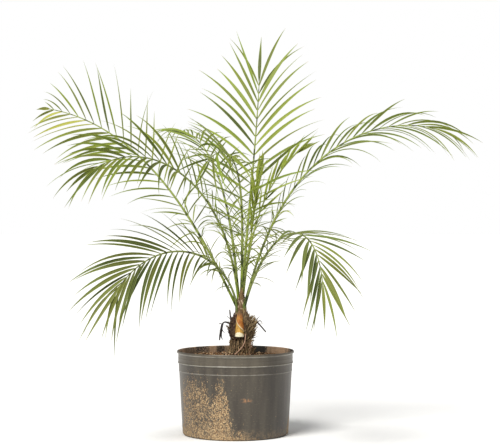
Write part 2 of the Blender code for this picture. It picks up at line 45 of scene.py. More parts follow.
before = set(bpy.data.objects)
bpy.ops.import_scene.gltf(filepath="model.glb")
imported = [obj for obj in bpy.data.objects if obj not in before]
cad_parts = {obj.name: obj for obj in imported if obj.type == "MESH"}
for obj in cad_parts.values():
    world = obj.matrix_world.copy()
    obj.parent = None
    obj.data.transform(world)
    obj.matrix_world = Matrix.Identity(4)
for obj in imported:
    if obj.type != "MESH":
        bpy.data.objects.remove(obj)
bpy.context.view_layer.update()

POT_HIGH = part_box("nursery_pot")[1]
POT_HEIGHT = POT_HIGH.z
RIM_RADIUS = POT_HIGH.x
STEM_LOW, STEM_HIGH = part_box("stem")
STEM_X = (STEM_LOW.x + STEM_HIGH.x) / 2
STEM_RADIUS = (STEM_HIGH.x - STEM_LOW.x) / 2
STEM_TOP = STEM_HIGH.z
CROWN_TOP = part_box("root_crown")[1].z
SHEATH_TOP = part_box("fibre_sheath")[1].z

# Container: heights and depths of its mouldings
LIP_HEIGHT = 0.0062
LIP_PROUD = 0.0032
BAND_HEIGHT = 0.0226
STEP_IN = 0.0023
STEP_HEIGHT = 0.0186
TAPER = 0.0083
FOOT_IN = 0.0082
FOOT_WIDTH = 0.018
GROOVE_INNER = 0.060
GROOVE_SLOPE = 0.005
GROOVE_RISE = 0.004
PAD_RADIUS = 0.052
DRAIN_HOLES = 8
DRAIN_RADIUS = 0.0065
DRAIN_STEPS = 32
BAND_RADIUS = RIM_RADIUS - LIP_PROUD
BODY_RADIUS = BAND_RADIUS - STEP_IN
BASE_RADIUS = BODY_RADIUS - TAPER
LIP_BOTTOM = POT_HEIGHT - LIP_HEIGHT
BAND_BOTTOM = LIP_BOTTOM - BAND_HEIGHT
STEP_BOTTOM = BAND_BOTTOM - STEP_HEIGHT
SOIL_LEVEL = POT_HEIGHT - 0.018
SOIL_TURNS = 128
SOIL_RINGS = 44
SEAT_GAP = 0.0003

# Fronds
FROND_LENGTH = 0.700
LEAFLET_LENGTH = 0.215
LEAFLET_WIDTH = 0.0085
LEAFLET_STEPS = 3
LEAFLET_GAP = 0.0009
OWN_GAP = 0.0003
STALK_STEPS = 80
STALK_HALF = 0.0034
STALK_DEPTH = 0.8
STALK_AT = (0.0, 0.04, 0.09, 0.2, 0.5, 1.0)
STALK_SHARE = (0.56, 0.71, 0.91, 1.0, 0.74, 0.29)
STALK_ROD_STEPS = 4
WIDTH_AT = (0.0, 0.12, 0.33, 0.66, 1.0)
WIDTH_SHARE = (0.40, 0.80, 1.00, 0.72, 0.08)
SPACING_POWER = 0.93
SAG_POWER = 1.3
BASE_LOSS = 0.55
LENGTH_JITTER = 0.05
FORWARD_JITTER = 2.0
LIFT_JITTER = 4.0
DROOP_JITTER = 0.2
END_SHARE = 0.75
LIFT_CHANGES = range(-30, 31, 4)
FORWARD_CHANGES = range(-16, 17, 4)
FORWARD_COST = 1.5
LEAST_SHORTER = 0.8
LENGTH_CHANGES = (1.0, 0.85, 0.7, 0.5, 0.3)
POT_WALL = 0.0018
SHEATH_THICK = 0.021
RIM_RODS = 24
TUFT_ROOM = 1.2
SEED = 7

Frond = namedtuple(
    "Frond",
    "name seat out seat_azimuth azimuth base_elev tip_elev bend sweep length "
    "bare pairs leaflet tip_loss forward_base forward_tip lift droop roll twist",
)
# Seat is metres below the stem's top, out is in stalk half-widths from the stem's axis, length
# and leaflet are shares of the longest, angles are degrees. Roll and twist turn the blade
# about its stalk.
FRONDS = (
    Frond("frond_upright", 0.020, 2.10, 80, 54, 82, 64, 1.5, 31, 0.80,
          0.25, 17, 1.02, 0.12, 70, 17, 10, 0.25, 0, 0),
    Frond("frond_right", 0.024, 2.96, 8, 11, 74, -17, 1.75, -16, 1.00,
          0.26, 22, 0.80, 0.25, 66, 16, 14, 0.80, 10, 30),
    Frond("frond_low_right", 0.033, 3.53, -50, -49, 65, -77, 1.5, -25, 0.71,
          0.36, 18, 0.75, 0.25, 60, 16, 10, 0.45, -15, 20),
    Frond("frond_low_left", 0.042, 3.67, 221, 221, 87, -52, 0.8, -1, 0.64,
          0.26, 20, 0.91, 0.25, 60, 14, 6, 0.50, -46, 0),
    Frond("frond_far_left", 0.034, 3.10, 167, 167, 63, 10, 2.0, 1, 1.00,
          0.30, 21, 0.84, 0.74, 62, 32, 14, 0.45, -25, -45),
    Frond("frond_mid_left", 0.026, 1.79, 205, 214, 83, -30, 1.42, 10, 0.885,
          0.28, 21, 0.81, 0.25, 70, 14, 18, 0.70, -30, -20),
    Frond("frond_front", 0.020, 2.12, 278, 278, 81, -27, 1.5, -29, 0.857,
          0.25, 19, 0.77, 0.25, 72, 16, 12, 0.50, 0, -50),
    Frond("frond_behind", 0.028, 2.21, 130, 112, 78, 5, 1.7, 8, 0.857,
          0.28, 18, 0.74, 0.25, 70, 16, 12, 0.60, 0, 0),
    Frond("spear_leaf", 0.008, 0.52, -40, -18, 80, 82, 1.0, 0, 0.41,
          0.50, 9, 0.46, 0.25, 13, 6, 10, 0.00, 0, 0),
    Frond("young_leaf", 0.010, 1.98, 28, 36, 83, 40, 1.57, -11, 0.564,
          0.40, 8, 0.51, 0.25, 24, 9, 10, 0.05, 0, 0),
)  # fmt: skip
YOUNG = ("spear_leaf", "young_leaf")
LOWEST = ("frond_low_left", "frond_low_right")

Stalk = namedtuple("Stalk", "points along face side")
Leaflet = namedtuple("Leaflet", "share row root heading length droop spot")
Stub = namedtuple("Stub", "name azimuth path half")
# A path is (out from the stem's skin, height over the fibre's top), half its half-widths.
STUBS = (
    Stub("dead_stalk_left", 205,
         ((0.0135, -0.023), (0.0260, -0.019), (0.0340, -0.027), (0.0378, -0.044), (0.0400, -0.062)),
         (0.0035, 0.0030, 0.0032, 0.0036, 0.0014)),
    Stub("dead_stalk_right", -13,
         ((0.0117, -0.025), (0.0221, -0.020), (0.0325, -0.029), (0.0450, -0.043)),
         (0.0032, 0.0030, 0.0028, 0.0014)),
    Stub("dead_stalk_upright", 173, ((0.0054, -0.025), (0.0092, -0.008), (0.0111, 0.009)),
         (0.0030, 0.0026, 0.0012)),
)  # fmt: skip
LEAF_BASE = Stub("cut_leaf_base", -98,
                 ((0.0046, -0.006), (0.0085, -0.025), (0.0115, -0.040), (0.0145, -0.053)),
                 (0.0052, 0.0080, 0.0106, 0.0122, 0.0120))  # fmt: skip

# Outlines of the root crown and the fibre: (out from the stem's skin, height), in shares
CROWN_SHAPE = ((0.24, 1.0), (0.38, 0.81), (0.46, 0.52), (0.62, 0.19), (0.50, -0.13), (0.10, -0.25))
SHEATH_SHAPE = ((0.0, 1.0), (0.14, 0.91), (0.42, 0.74), (0.56, 0.48), (0.46, 0.15), (0.34, -0.03))
STEM_STRANDS = 150
STRAND_REACH = (0.0130, 0.0120, 0.0104, 0.0076, 0.0040)
# Rows and columns of the cut leaf base
SHIELD_ROWS = 60
SHIELD_COLUMNS = 37
ROOT_TAPER = (0.8, 1.0, 1.0, 0.95, 0.9, 0.8, 0.65, 0.5, 0.4)
# The pale root in front: (azimuth in degrees, out from the stem, height over the soil)
PALE_ROOT = ((-68, 0.0125, 0.058), (-70, 0.0135, 0.044), (-82, 0.0145, 0.029), (-100, 0.017, 0.018),
             (-112, 0.024, 0.010), (-122, 0.034, 0.002))  # fmt: skip
# Twigs of each dead stalk: a path of (out from the stem's skin, height over the fibre's top), half its width
TWIGS = {
    "dead_stalk_left": (
        (((0.0330, -0.025), (0.0340, -0.036), (0.0330, -0.052), (0.0318, -0.061)), 0.0019),
        (((0.0330, -0.025), (0.0385, -0.022), (0.0430, -0.024)), 0.0011),
        (((0.0340, -0.030), (0.0290, -0.040), (0.0235, -0.046)), 0.0010),
    ),
    "dead_stalk_right": (
        (((0.0230, -0.020), (0.0300, -0.0165), (0.0375, -0.022)), 0.0012),
        (((0.0180, -0.022), (0.0225, -0.013), (0.0300, -0.006)), 0.0010),
    ),
    "dead_stalk_upright": ((((0.0080, -0.014), (0.0135, -0.010), (0.0175, -0.006)), 0.0009),),
}  # fmt: skip

# Leaflets and stalks in their finished form
# How much of a stalk stays in its brown sheath, and how far its leaflets' greens reach between the full and
# the light green; a low top draws a whole frond darker and a high bottom lighter, partly as painted shade and
# painted light
SHEATHED = {"frond_front": 0.065, "frond_mid_left": 0.012}
GREENS = {
    "frond_right": (0.0, 0.45), "frond_mid_left": (0.0, 0.6), "frond_behind": (0.0, 0.9),
    "frond_far_left": (0.0, 0.8), "frond_low_left": (0.0, 0.6), "frond_low_right": (0.35, 1.0),
}  # fmt: skip
# A stalk's clasp: how far down the stem it runs for its seat, and how far out it holds
STALK_RINGS = 56
CLASP_STEPS = 7
CLASP_DOWN = 0.018
CLASP_SLOPE = 0.6
CLASP_SEAT = 0.045
CLASP_GRIP = STEM_RADIUS * 0.80
# Spines: the first one's place on the stalk, the gap between two, and their half width in millimetres
SPINE_FROM = 0.16
SPINE_GAP = 0.034
SPINE_HALF = (0.9, 0.7, 0.42, 0.06)
WISP_FROM = 0.13
WISP_HABIT = (3.0, 0.85, 0.0)
WISP_GREENS = (0.5, 1.0)
# How loosely some fronds' leaflets hang, how broad they are, and how far their lowest lean along the stalk
LOOSE = {
    "frond_front": (2.2, 0.72, 0.8), "frond_behind": (2.2, 0.70, 0.8), "frond_right": (1.4, 0.85, 1.1),
    "spear_leaf": (0.3, 1.35, 0.0), "young_leaf": (0.4, 1.2, 0.0), "frond_far_left": (1.4, 0.95, 0.0),
}  # fmt: skip
# The far left frond's upper row: how long its leaflets are along the blade, as a share
LONG_AT = (0.3, 0.55, 0.72, 0.88, 1.0)
LONG_SHARE = (1.0, 1.2, 1.3, 0.95, 0.6)
# A leaflet's width along the blade's length, as a share
THIN_AT = (0.0, 0.2, 0.5, 0.85, 1.0)
THIN_SHARE = (0.42, 0.62, 1.0, 0.95, 0.70)
BLADE_AT = (0.0, 0.04, 0.12, 0.30, 0.45, 0.65, 0.85, 1.0)
BLADE_SHARE = (0.30, 0.46, 0.78, 1.0, 0.97, 0.70, 0.29, 0.03)
# Values that each point of a rail holds: a kind, and directions for the ones named here
STALK_KIND, BLADE_KIND = 0.0, 1.0
RAIL_VECTORS = ("broad", "up")

# Container's marks. The mud's upper edge across the front is (x, height), x in shares of the rim's radius
MUD_EDGE = (
    (-1.0, 0.130), (-0.80, 0.165), (-0.60, 0.180), (-0.46, 0.160), (-0.38, 0.125), (-0.31, 0.140),
    (-0.23, 0.160), (-0.15, 0.140), (-0.07, 0.080), (0.02, 0.045), (0.15, 0.030), (0.34, 0.024), (0.60, 0.0),
    (1.0, 0.0),
)  # fmt: skip
MUD_BEHIND = 0.17
MUD_RAGGED = (-0.032, 0.028)
MUD_FADE = 0.055
# How far the rim band is drawn paler, towards the dust colour
RIM_BAND_PALER = 0.42
SMUDGE_PLACE = (0.0255, 0.0939)
SMUDGE_REACH = (0.015, 0.006)


# Settings


def size(label, text, value, **more):
    return FloatProperty(name=label, description=text, default=value, unit="LENGTH", precision=5, **more)


def share(label, text, value, **more):
    return FloatProperty(name=label, description=text, default=value, subtype="FACTOR", min=0.0, **more)


def count(label, text, value):
    return IntProperty(name=label, description=text, default=value, min=1)


def number(label, text, value):
    return FloatProperty(name=label, description=text, default=value)


def bearing(label, text, degrees):
    return FloatProperty(name=label, description=text, default=math.radians(degrees), unit="ROTATION")


def colour(label, text, value):
    return FloatVectorProperty(
        name=label, description=text, default=value, subtype="COLOR", size=3, min=0.0, max=1.0
    )


class PalmPotSettings(bpy.types.PropertyGroup):
    """The nursery container"""

    wall: size("Wall", "Thickness of the moulded wall", POT_WALL)
    ridge: size("Ridge", "How far the moulded ridges stand out", 0.0012)
    steps: count("Steps", "Facets round the container", 160)
    plastic: colour("Plastic", "Weathered black-grey plastic", (0.043, 0.034, 0.026))
    dust: colour("Dust", "Grey film of dust and scuffs", (0.112, 0.095, 0.068))
    # Painted highlight: the pale colour drawn along the mouldings' edges.
    ridge_highlight: colour("Ridge highlight", "Painted highlight along the mouldings' edges", (0.45, 0.43, 0.37))
    mud: colour("Dried mud", "Tan splashes of dried mud", (0.56, 0.40, 0.22))
    mud_dark: colour("Damp mud", "Darker patches in the mud", (0.19, 0.115, 0.06))
    smudge: colour("Smudge", "Rust-brown smudge on the front", (0.40, 0.20, 0.09))
    stain: colour("Stain", "Brown stain on the wall's inside", (0.42, 0.27, 0.165))
    stain_pale: colour("Pale stain", "Pale crust in the stain", (0.66, 0.46, 0.30))


class PalmSoilSettings(bpy.types.PropertyGroup):
    """Soil in the container"""

    mound: size("Mound", "How far the soil rises to the roots", 0.010)
    lumps: size("Lumps", "Height of the soil's lumps", 0.006)
    crumb: size("Crumb", "Size of a crumb of bark", 0.0062)
    crumbs: count("Crumbs", "Number of crumbs per square metre", 40000)
    brown: colour("Soil", "Dark damp soil", (0.062, 0.034, 0.017))
    orange: colour("Bark", "Orange-brown bark crumbs", (0.56, 0.28, 0.125))
    straw: colour("Straw", "Pale dry straw and roots", (0.72, 0.52, 0.33))


class PalmRootSettings(bpy.types.PropertyGroup):
    """Roots and the brown fibre round the stem"""

    root_tuft: size("Root tuft", "Length of a broken root end", 0.011)
    roots: count("Roots", "Roots in the skirt", 130)
    root_half: size("Root radius", "Radius of a root", 0.0011)
    strips: count("Strips", "Fibre strips per square metre", 22000)
    strip: size("Strip", "Length of a fibre strip", 0.0155)
    hairs: count("Hairs", "Loose hairs per square metre", 5000)
    root_brown: colour("Roots", "Brown roots", (0.135, 0.092, 0.050))
    root_pale: colour("Pale roots", "Fresh pale roots", (0.55, 0.34, 0.24))
    fibre_dark: colour("Fibre shade", "Dark brown fibre", (0.070, 0.034, 0.024))
    fibre_light: colour("Fibre", "Olive-brown fibre", (0.36, 0.26, 0.135))


class PalmStemSettings(bpy.types.PropertyGroup):
    """Stem, cut leaf base and dead stalks"""

    bark: colour("Bark", "Brown fibrous bark", (0.20, 0.115, 0.05))
    bark_pale: colour("Pale bark", "Pale dry flakes on the bark", (0.66, 0.50, 0.36))
    cut_orange: colour("Leaf base", "Rust-orange skin of the cut leaf base", (0.60, 0.20, 0.035))
    cut_gold: colour("Leaf base edge", "Golden edge of the cut leaf base", (0.72, 0.40, 0.08))
    base_bark: colour("Leaf base top", "Brown skin at the leaf base's top", (0.30, 0.165, 0.065))
    base_bark_dark: colour("Leaf base shade", "Dark fibres at the leaf base's top", (0.11, 0.060, 0.026))
    base_edge: colour("Leaf base rim", "Dark rim at the leaf base's sides", (0.16, 0.08, 0.03))
    # Painted shadow under the flap's edge.
    flap_shadow: colour("Flap shadow", "Dark line under the flap", (0.14, 0.06, 0.02))
    flap_lip: colour("Flap lip", "Pale torn lip of the flap", (0.90, 0.74, 0.42))
    scar: colour("Scar", "Cream flesh of the cut", (0.93, 0.85, 0.60))
    dead: colour("Dead stalk", "Grey-brown dead stalk", (0.036, 0.030, 0.028))
    dead_pale: colour("Pale dead stalk", "Paler, drier dead stalk", (0.17, 0.12, 0.085))


class PalmFrondSettings(bpy.types.PropertyGroup):
    """Sizes of the fronds' fine shapes"""

    leaflet_width: size("Leaflet width", "Width of a leaflet at its broadest", 0.0082)
    sway: share("Sway", "How far a leaflet's tip bends sideways, per length", 0.055)
    curl: share("Curl", "How far a leaflet's tip curves back, per length", 0.05)
    fold: share("Fold", "Rise of a leaflet's edges over its midrib, per half width", 0.42)
    thickness: share("Thickness", "Thickness of a leaflet, per half width", 0.13)
    blade_steps: count("Blade steps", "Steps along a leaflet", 10)
    stalk_sides: count("Stalk sides", "Sides of a stalk", 12)
    petiole_half: size("Petiole base", "Half the width of a stalk where it clasps the stem", 0.0058)
    spine: size("Spine", "Length of a spine on the stalk", 0.011)
    wisp: size("Wisp", "Length of a thin leaflet below the blade", 0.105)
    wisp_gap: share("Wisp gap", "Gap between thin leaflets, per length of stalk", 0.027)


class PalmLeafSettings(bpy.types.PropertyGroup):
    """Leaf colours"""

    green: colour("Leaf green", "Full green of a leaflet", (0.026, 0.045, 0.008))
    green_light: colour("Leaf light green", "Bright green of a leaflet in the sun", (0.185, 0.250, 0.030))
    old: colour("Old leaf green", "Deep green of the lowest fronds", (0.027, 0.042, 0.010))
    old_light: colour("Old leaf light green", "Light green of the lowest fronds", (0.125, 0.165, 0.036))
    young: colour("Young leaf green", "Green of the spear leaf", (0.090, 0.125, 0.010))
    young_light: colour("Young leaf light green", "Light green of the spear leaf", (0.240, 0.300, 0.034))
    rib: colour("Rib", "Pale rib and stalk", (0.300, 0.340, 0.110))
    dry: colour("Dry tip", "Tan of a drying tip", (0.46, 0.31, 0.13))
    sheath: colour("Stalk sheath", "Tan of the sheath round a stalk's foot", (0.34, 0.24, 0.10))
    sheath_dark: colour("Stalk sheath shade", "Dark fibres in the sheath", (0.16, 0.09, 0.04))
    gold: colour("Fading leaf", "Yellow of a fading leaflet", (0.46, 0.46, 0.08))


class PalmStageSettings(bpy.types.PropertyGroup):
    """Floor, light and camera"""

    floor_radius: size("Floor", "Radius of the floor", 60.0)
    floor: colour("Floor colour", "Pale floor", (0.90, 0.90, 0.90))
    sky: number("Fill", "Strength of the light all round", 0.46)
    key: number("Key", "Strength of the key light", 3.5)
    key_colour: colour("Key colour", "Colour of the key light", (1.0, 0.985, 0.95))
    key_turn: bearing("Key direction", "Azimuth that the key comes from", -125)
    key_rise: bearing("Key height", "Elevation of the key", 52)
    softness: bearing("Softness", "Angle that the key light covers", 26)
    lens: number("Lens", "Focal length in millimetres", 105.4)
    camera: FloatVectorProperty(
        name="Camera", description="Where the camera stands", default=(0.03466, -3.5, 0.50234), subtype="XYZ"
    )


# Node trees


class Graph:
    """A node tree in the making: a socket given as a value is linked, anything else is set."""

    def __init__(self, tree):
        self.tree = tree

    def put(self, node, key, value):
        target = next((s for s in node.inputs if s.identifier == key), None) or node.inputs[key]
        if isinstance(value, bpy.types.NodeSocket):
            self.tree.links.new(value, target)
        else:
            target.default_value = value

    def add(self, kind, inputs=None, **settings):
        node = self.tree.nodes.new(kind)
        for key, value in settings.items():
            setattr(node, key, value)
        for key, value in (inputs or {}).items():
            self.put(node, key, value)
        return node

    def maths(self, operation, first, second=0.0, third=0.0, clamp=False):
        inputs = {0: first, 1: second, 2: third}
        return self.add("ShaderNodeMath", inputs, operation=operation, use_clamp=clamp).outputs[0]

    def times(self, first, second):
        return self.maths("MULTIPLY", first, second)

    def plus(self, first, second, clamp=False):
        return self.maths("ADD", first, second, clamp=clamp)

    def minus(self, first, second):
        return self.maths("SUBTRACT", first, second)

    def vector_maths(self, operation, first, second=(0.0, 0.0, 0.0), scale=1.0):
        node = self.add("ShaderNodeVectorMath", {0: first, 1: second, "Scale": scale}, operation=operation)
        return node.outputs["Value" if operation in ("DOT_PRODUCT", "LENGTH") else "Vector"]

    def xyz(self, vector):
        return self.add("ShaderNodeSeparateXYZ", {0: vector}).outputs

    def combine(self, x=0.0, y=0.0, z=0.0):
        return self.add("ShaderNodeCombineXYZ", {0: x, 1: y, 2: z}).outputs[0]

    def span(self, value, low, high, to_low=0.0, to_high=1.0):
        """Maps low..high to to_low..to_high, held at its ends."""
        inputs = {"Value": value, "From Min": low, "From Max": high, "To Min": to_low, "To Max": to_high}
        return self.add("ShaderNodeMapRange", inputs).outputs[0]

    def chance(self, low, high, seed):
        """A random value for each item: a vector where low is one, else a number."""
        vector = isinstance(low, tuple)
        least, most = ("Min", "Max") if vector else ("Min_001", "Max_001")
        kind = "FLOAT_VECTOR" if vector else "FLOAT"
        node = self.add("FunctionNodeRandomValue", {least: low, most: high, "Seed": seed}, data_type=kind)
        return node.outputs[0 if vector else 1]

    def named(self, name, kind="FLOAT"):
        return self.add("GeometryNodeInputNamedAttribute", {"Name": name}, data_type=kind).outputs[0]

    def store(self, geometry, name, value, **settings):
        inputs = {"Geometry": geometry, "Name": name, "Value": value}
        return self.add("GeometryNodeStoreNamedAttribute", inputs, **settings).outputs[0]

    def moved(self, geometry, offset):
        return self.add("GeometryNodeSetPosition", {"Geometry": geometry, "Offset": offset}).outputs[0]

    def position(self):
        return self.add("GeometryNodeInputPosition").outputs[0]

    def join(self, *parts):
        both = self.add("GeometryNodeJoinGeometry")
        for part in parts:
            self.put(both, 0, part)
        return both.outputs[0]


def opaque(rgb):
    return (*rgb, 1.0)


def scaled(rgb, by):
    return [value * by for value in rgb]


class Finish(Graph):
    """A material on one Principled BSDF, with short forms of the nodes that the finishes share."""

    def __init__(self, name, roughness, specular=0.5):
        self.material = bpy.data.materials.new(name)
        self.material.use_nodes = True
        super().__init__(self.material.node_tree)
        self.shader = self.tree.nodes["Principled BSDF"]
        self.shader.inputs["Specular IOR Level"].default_value = specular
        self.shader.inputs["Roughness"].default_value = roughness
        given = self.add("ShaderNodeTexCoord").outputs
        self.place, self.facing = given["Object"], given["Normal"]

    def noise(self, scale, detail=3.0, roughness=0.55, stretch=None):
        """Noise on the piece's own coordinates; a stretch below 1 draws it out along that axis."""
        place = self.place
        if stretch:
            place = self.add("ShaderNodeMapping", {"Vector": place, "Scale": stretch}).outputs[0]
        inputs = {"Vector": place, "Scale": scale, "Detail": detail, "Roughness": roughness}
        return self.add("ShaderNodeTexNoise", inputs).outputs[0]

    def mix(self, factor, first, second):
        inputs = {"Factor_Float": factor}
        for key, value in (("A_Color", first), ("B_Color", second)):
            inputs[key] = value if isinstance(value, bpy.types.NodeSocket) else opaque(value)
        return self.add("ShaderNodeMix", inputs, data_type="RGBA").outputs[2]

    def attribute(self, name):
        return self.add("ShaderNodeAttribute", attribute_name=name).outputs["Fac"]

    def bump(self, height, strength, distance):
        inputs = {"Height": height, "Strength": strength, "Distance": distance}
        self.put(self.shader, "Normal", self.add("ShaderNodeBump", inputs).outputs[0])

    def colour(self, value):
        self.put(self.shader, "Base Color", value)

    def rough(self, value):
        self.put(self.shader, "Roughness", value)


# Meshes and objects


def as_object(name, mesh):
    obj = bpy.data.objects.new(name, mesh)
    bpy.context.scene.collection.objects.link(obj)
    return obj


def plain_mesh(obj):
    """The object as its modifiers leave it, with the modifiers gone."""
    mesh = bpy.data.meshes.new_from_object(obj.evaluated_get(bpy.context.evaluated_depsgraph_get()))
    mesh.name = obj.name
    obj.modifiers.clear()
    obj.data = mesh
    return obj


def smooth(obj, angle=40.0):
    obj.data.shade_smooth()
    obj.data.set_sharp_from_angle(angle=math.radians(angle))
    return obj


def finish_piece(obj, slot, *nodes, material=None):
    if material:
        obj.data.materials.clear()
        obj.data.materials.append(material)
    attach(obj, "root")
    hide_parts(*nodes)
    return obj


def joined(name, objects):
    build = bmesh.new()
    for obj in objects:
        build.from_mesh(obj.data)
        bpy.data.objects.remove(obj)
    mesh = bpy.data.meshes.new(name)
    build.to_mesh(mesh)
    build.free()
    return as_object(name, mesh)


def turned(name, profile, steps, axis_x=0.0):
    """Turns a closed or axis-to-axis profile of (radius, height) about a vertical axis at axis_x."""
    mesh = bpy.data.meshes.new(name)
    mesh.from_pydata(
        [(radius, 0.0, height) for radius, height in profile],
        [(i, i + 1) for i in range(len(profile) - 1)], [],
    )  # fmt: skip
    obj = as_object(name, mesh)
    turn = obj.modifiers.new("turn", "SCREW")
    turn.steps = turn.render_steps = steps
    turn.use_merge_vertices = True
    turn.merge_threshold = 0.00001
    plain_mesh(obj).data.transform(Matrix.Translation((axis_x, 0.0, 0.0)))
    return obj


def rounded(profile, radius, steps=3):
    """The profile with each inner corner cut back by radius and drawn as a short curve."""
    points = [Vector(point) for point in profile]
    made = [points[0]]
    for before, corner, after in zip(points, points[1:], points[2:]):
        reach_in, reach_out = (before - corner), (after - corner)
        first = corner + reach_in.normalized() * min(radius, reach_in.length * 0.45)
        last = corner + reach_out.normalized() * min(radius, reach_out.length * 0.45)
        for step in range(steps + 1):
            along = step / steps
            made.append(first.lerp(corner, along).lerp(corner.lerp(last, along), along))
    made.append(points[-1])
    return [tuple(point) for point in made]


def unit(vectors):
    return vectors / np.linalg.norm(vectors, axis=-1, keepdims=True)


class Rails:
    """Paths with a value of each named kind at every point, which a tree sweeps into bodies."""

    def __init__(self):
        self.points, self.edges, self.values = [], [], {}

    def add(self, points, **values):
        start, total = len(self.points), len(points)
        self.points.extend(points)
        self.edges.extend((start + i, start + i + 1) for i in range(total - 1))
        for key, value in values.items():
            shape = (total, 3) if key in RAIL_VECTORS else (total,)
            self.values.setdefault(key, []).append(np.broadcast_to(np.asarray(value, dtype=float), shape))

    def to_mesh(self, name):
        """A mesh of edges only, with the values as attributes of its points."""
        mesh = bpy.data.meshes.new(name)
        mesh.from_pydata([tuple(point) for point in self.points], self.edges, [])
        for key, chunks in self.values.items():
            value = np.concatenate(chunks)
            vector = key in RAIL_VECTORS
            made = mesh.attributes.new(key, "FLOAT_VECTOR" if vector else "FLOAT", "POINT")
            made.data.foreach_set("vector" if vector else "value", value.astype(np.float32).ravel())
        return mesh


def new_tree(name, inputs):
    """A geometry tree with its sockets, as (graph, input node's outputs)."""
    tree = bpy.data.node_groups.new(name, "GeometryNodeTree")
    tree.interface.new_socket("Geometry", in_out="INPUT", socket_type="NodeSocketGeometry")
    for label, kind in inputs.items():
        tree.interface.new_socket(label, in_out="INPUT", socket_type="NodeSocket" + kind)
    tree.interface.new_socket("Geometry", in_out="OUTPUT", socket_type="NodeSocketGeometry")
    graph = Graph(tree)
    return graph, graph.add("NodeGroupInput").outputs


def end_tree(graph, geometry, material):
    """Ends a tree with real meshes that hold their material."""
    real = graph.add("GeometryNodeRealizeInstances", {0: geometry}).outputs[0]
    shaded = graph.add("GeometryNodeSetShadeSmooth", {0: real}).outputs[0]
    made = graph.add("GeometryNodeSetMaterial", {"Geometry": shaded, "Material": material}).outputs[0]
    graph.add("NodeGroupOutput", {0: made})
    return graph.tree


def grow(obj, tree, values):
    """Runs a tree on an object, with its inputs given by name, and leaves the plain result."""
    change = obj.modifiers.new("grow", "NODES")
    change.node_group = tree
    for item in tree.interface.items_tree:
        if item.in_out == "INPUT" and item.name in values:
            change[item.identifier] = values[item.name]
    return plain_mesh(obj)


# Growth: every leaflet is turned until it clears the other fronds


def seat_of(frond):
    angle = math.radians(frond.seat_azimuth)
    reach = frond.out * STALK_HALF
    return np.array((STEM_X + reach * math.cos(angle), reach * math.sin(angle), STEM_TOP - frond.seat))


def stalk_of(frond):
    """The stalk's middle line, with its direction, its upper face and its side at each step."""
    step_share = np.linspace(0.0, 1.0, STALK_STEPS + 1)
    elevation = np.radians(frond.base_elev + (frond.tip_elev - frond.base_elev) * step_share**frond.bend)
    azimuth = np.radians(frond.azimuth + frond.sweep * step_share)
    level, rise = np.cos(elevation), np.sin(elevation)
    east, north = np.cos(azimuth), np.sin(azimuth)
    along = np.stack([level * east, level * north, rise], axis=1)
    upper = np.stack([-rise * east, -rise * north, level], axis=1)
    beside = np.cross(along, upper)
    roll = np.radians(frond.roll + frond.twist * step_share)[:, None]
    step = (along[1:] + along[:-1]) / 2 * frond.length * FROND_LENGTH / STALK_STEPS
    points = seat_of(frond) + np.concatenate([np.zeros((1, 3)), np.cumsum(step, axis=0)])
    face = upper * np.cos(roll) + beside * np.sin(roll)
    return Stalk(points, along, face, beside * np.cos(roll) - upper * np.sin(roll))


def at(table, place_share):
    place = min(max(place_share, 0.0), 1.0) * STALK_STEPS
    step = min(int(place), STALK_STEPS - 1)
    return table[step] * (step + 1 - place) + table[step + 1] * (place - step)


def stalk_half(place_share):
    return STALK_HALF * np.interp(place_share, STALK_AT, STALK_SHARE)


def leaflet_line(root, heading, length, droop, steps=LEAFLET_STEPS):
    points = [root]
    for step in range(steps):
        sag = droop * ((step + 0.5) / steps) ** SAG_POWER
        ahead = unit(heading - np.array((0.0, 0.0, sag)))
        points.append(points[-1] + ahead * length / steps)
    return np.array(points)


def segment_gaps(start, end, others_start, others_end):
    """The distance of every segment to every other one."""
    run, other = (end - start)[:, None], (others_end - others_start)[None]
    offset = start[:, None] - others_start[None]
    a, b, c = (run * run).sum(-1), (run * other).sum(-1), (other * other).sum(-1)
    d, e = (run * offset).sum(-1), (other * offset).sum(-1)
    spread = np.maximum(a * c - b * b, 1e-12)
    near = np.clip((b * e - c * d) / spread, 0.0, 1.0)
    far = np.clip((b * near + e) / c, 0.0, 1.0)
    near = np.clip((b * far - d) / a, 0.0, 1.0)
    gap = offset + run * near[..., None] - other * far[..., None]
    return np.sqrt((gap * gap).sum(-1))


class Crowd:
    """Everything placed so far, as round-ended rods."""

    def __init__(self):
        self.start = np.zeros((0, 3))
        self.end = np.zeros((0, 3))
        self.radius = np.zeros(0)
        self.owner = np.zeros(0, dtype=int)

    def add(self, line, radius, owner):
        self.start = np.concatenate([self.start, line[:-1]])
        self.end = np.concatenate([self.end, line[1:]])
        self.radius = np.concatenate([self.radius, radius])
        self.owner = np.concatenate([self.owner, np.full(len(radius), owner)])

    def room(self, line, radius, owner):
        """The least gap beyond what is wanted; the root may meet its own frond."""
        gap = segment_gaps(line[:-1], line[1:], self.start, self.end) - radius[:, None] - self.radius
        own = self.owner == owner
        least = (gap[:, ~own] - LEAFLET_GAP).min(initial=1.0)
        return min(least, (gap[1:, own] - OWN_GAP).min(initial=1.0))


def changes():
    """The turns and shortenings that a leaflet may take, the least change first."""
    turns = [(lift, forward) for lift in LIFT_CHANGES for forward in FORWARD_CHANGES]
    turns = sorted(turns + [(0, 0)], key=lambda turn: abs(turn[0]) + FORWARD_COST * abs(turn[1]))
    return [(*turn, shorter) for shorter in LENGTH_CHANGES for turn in turns]


def blade_radius():
    widths = LEAFLET_WIDTH * np.interp(np.linspace(0.0, 1.0, LEAFLET_STEPS + 1), WIDTH_AT, WIDTH_SHARE) / 2
    return np.maximum(widths[1:], widths[:-1])


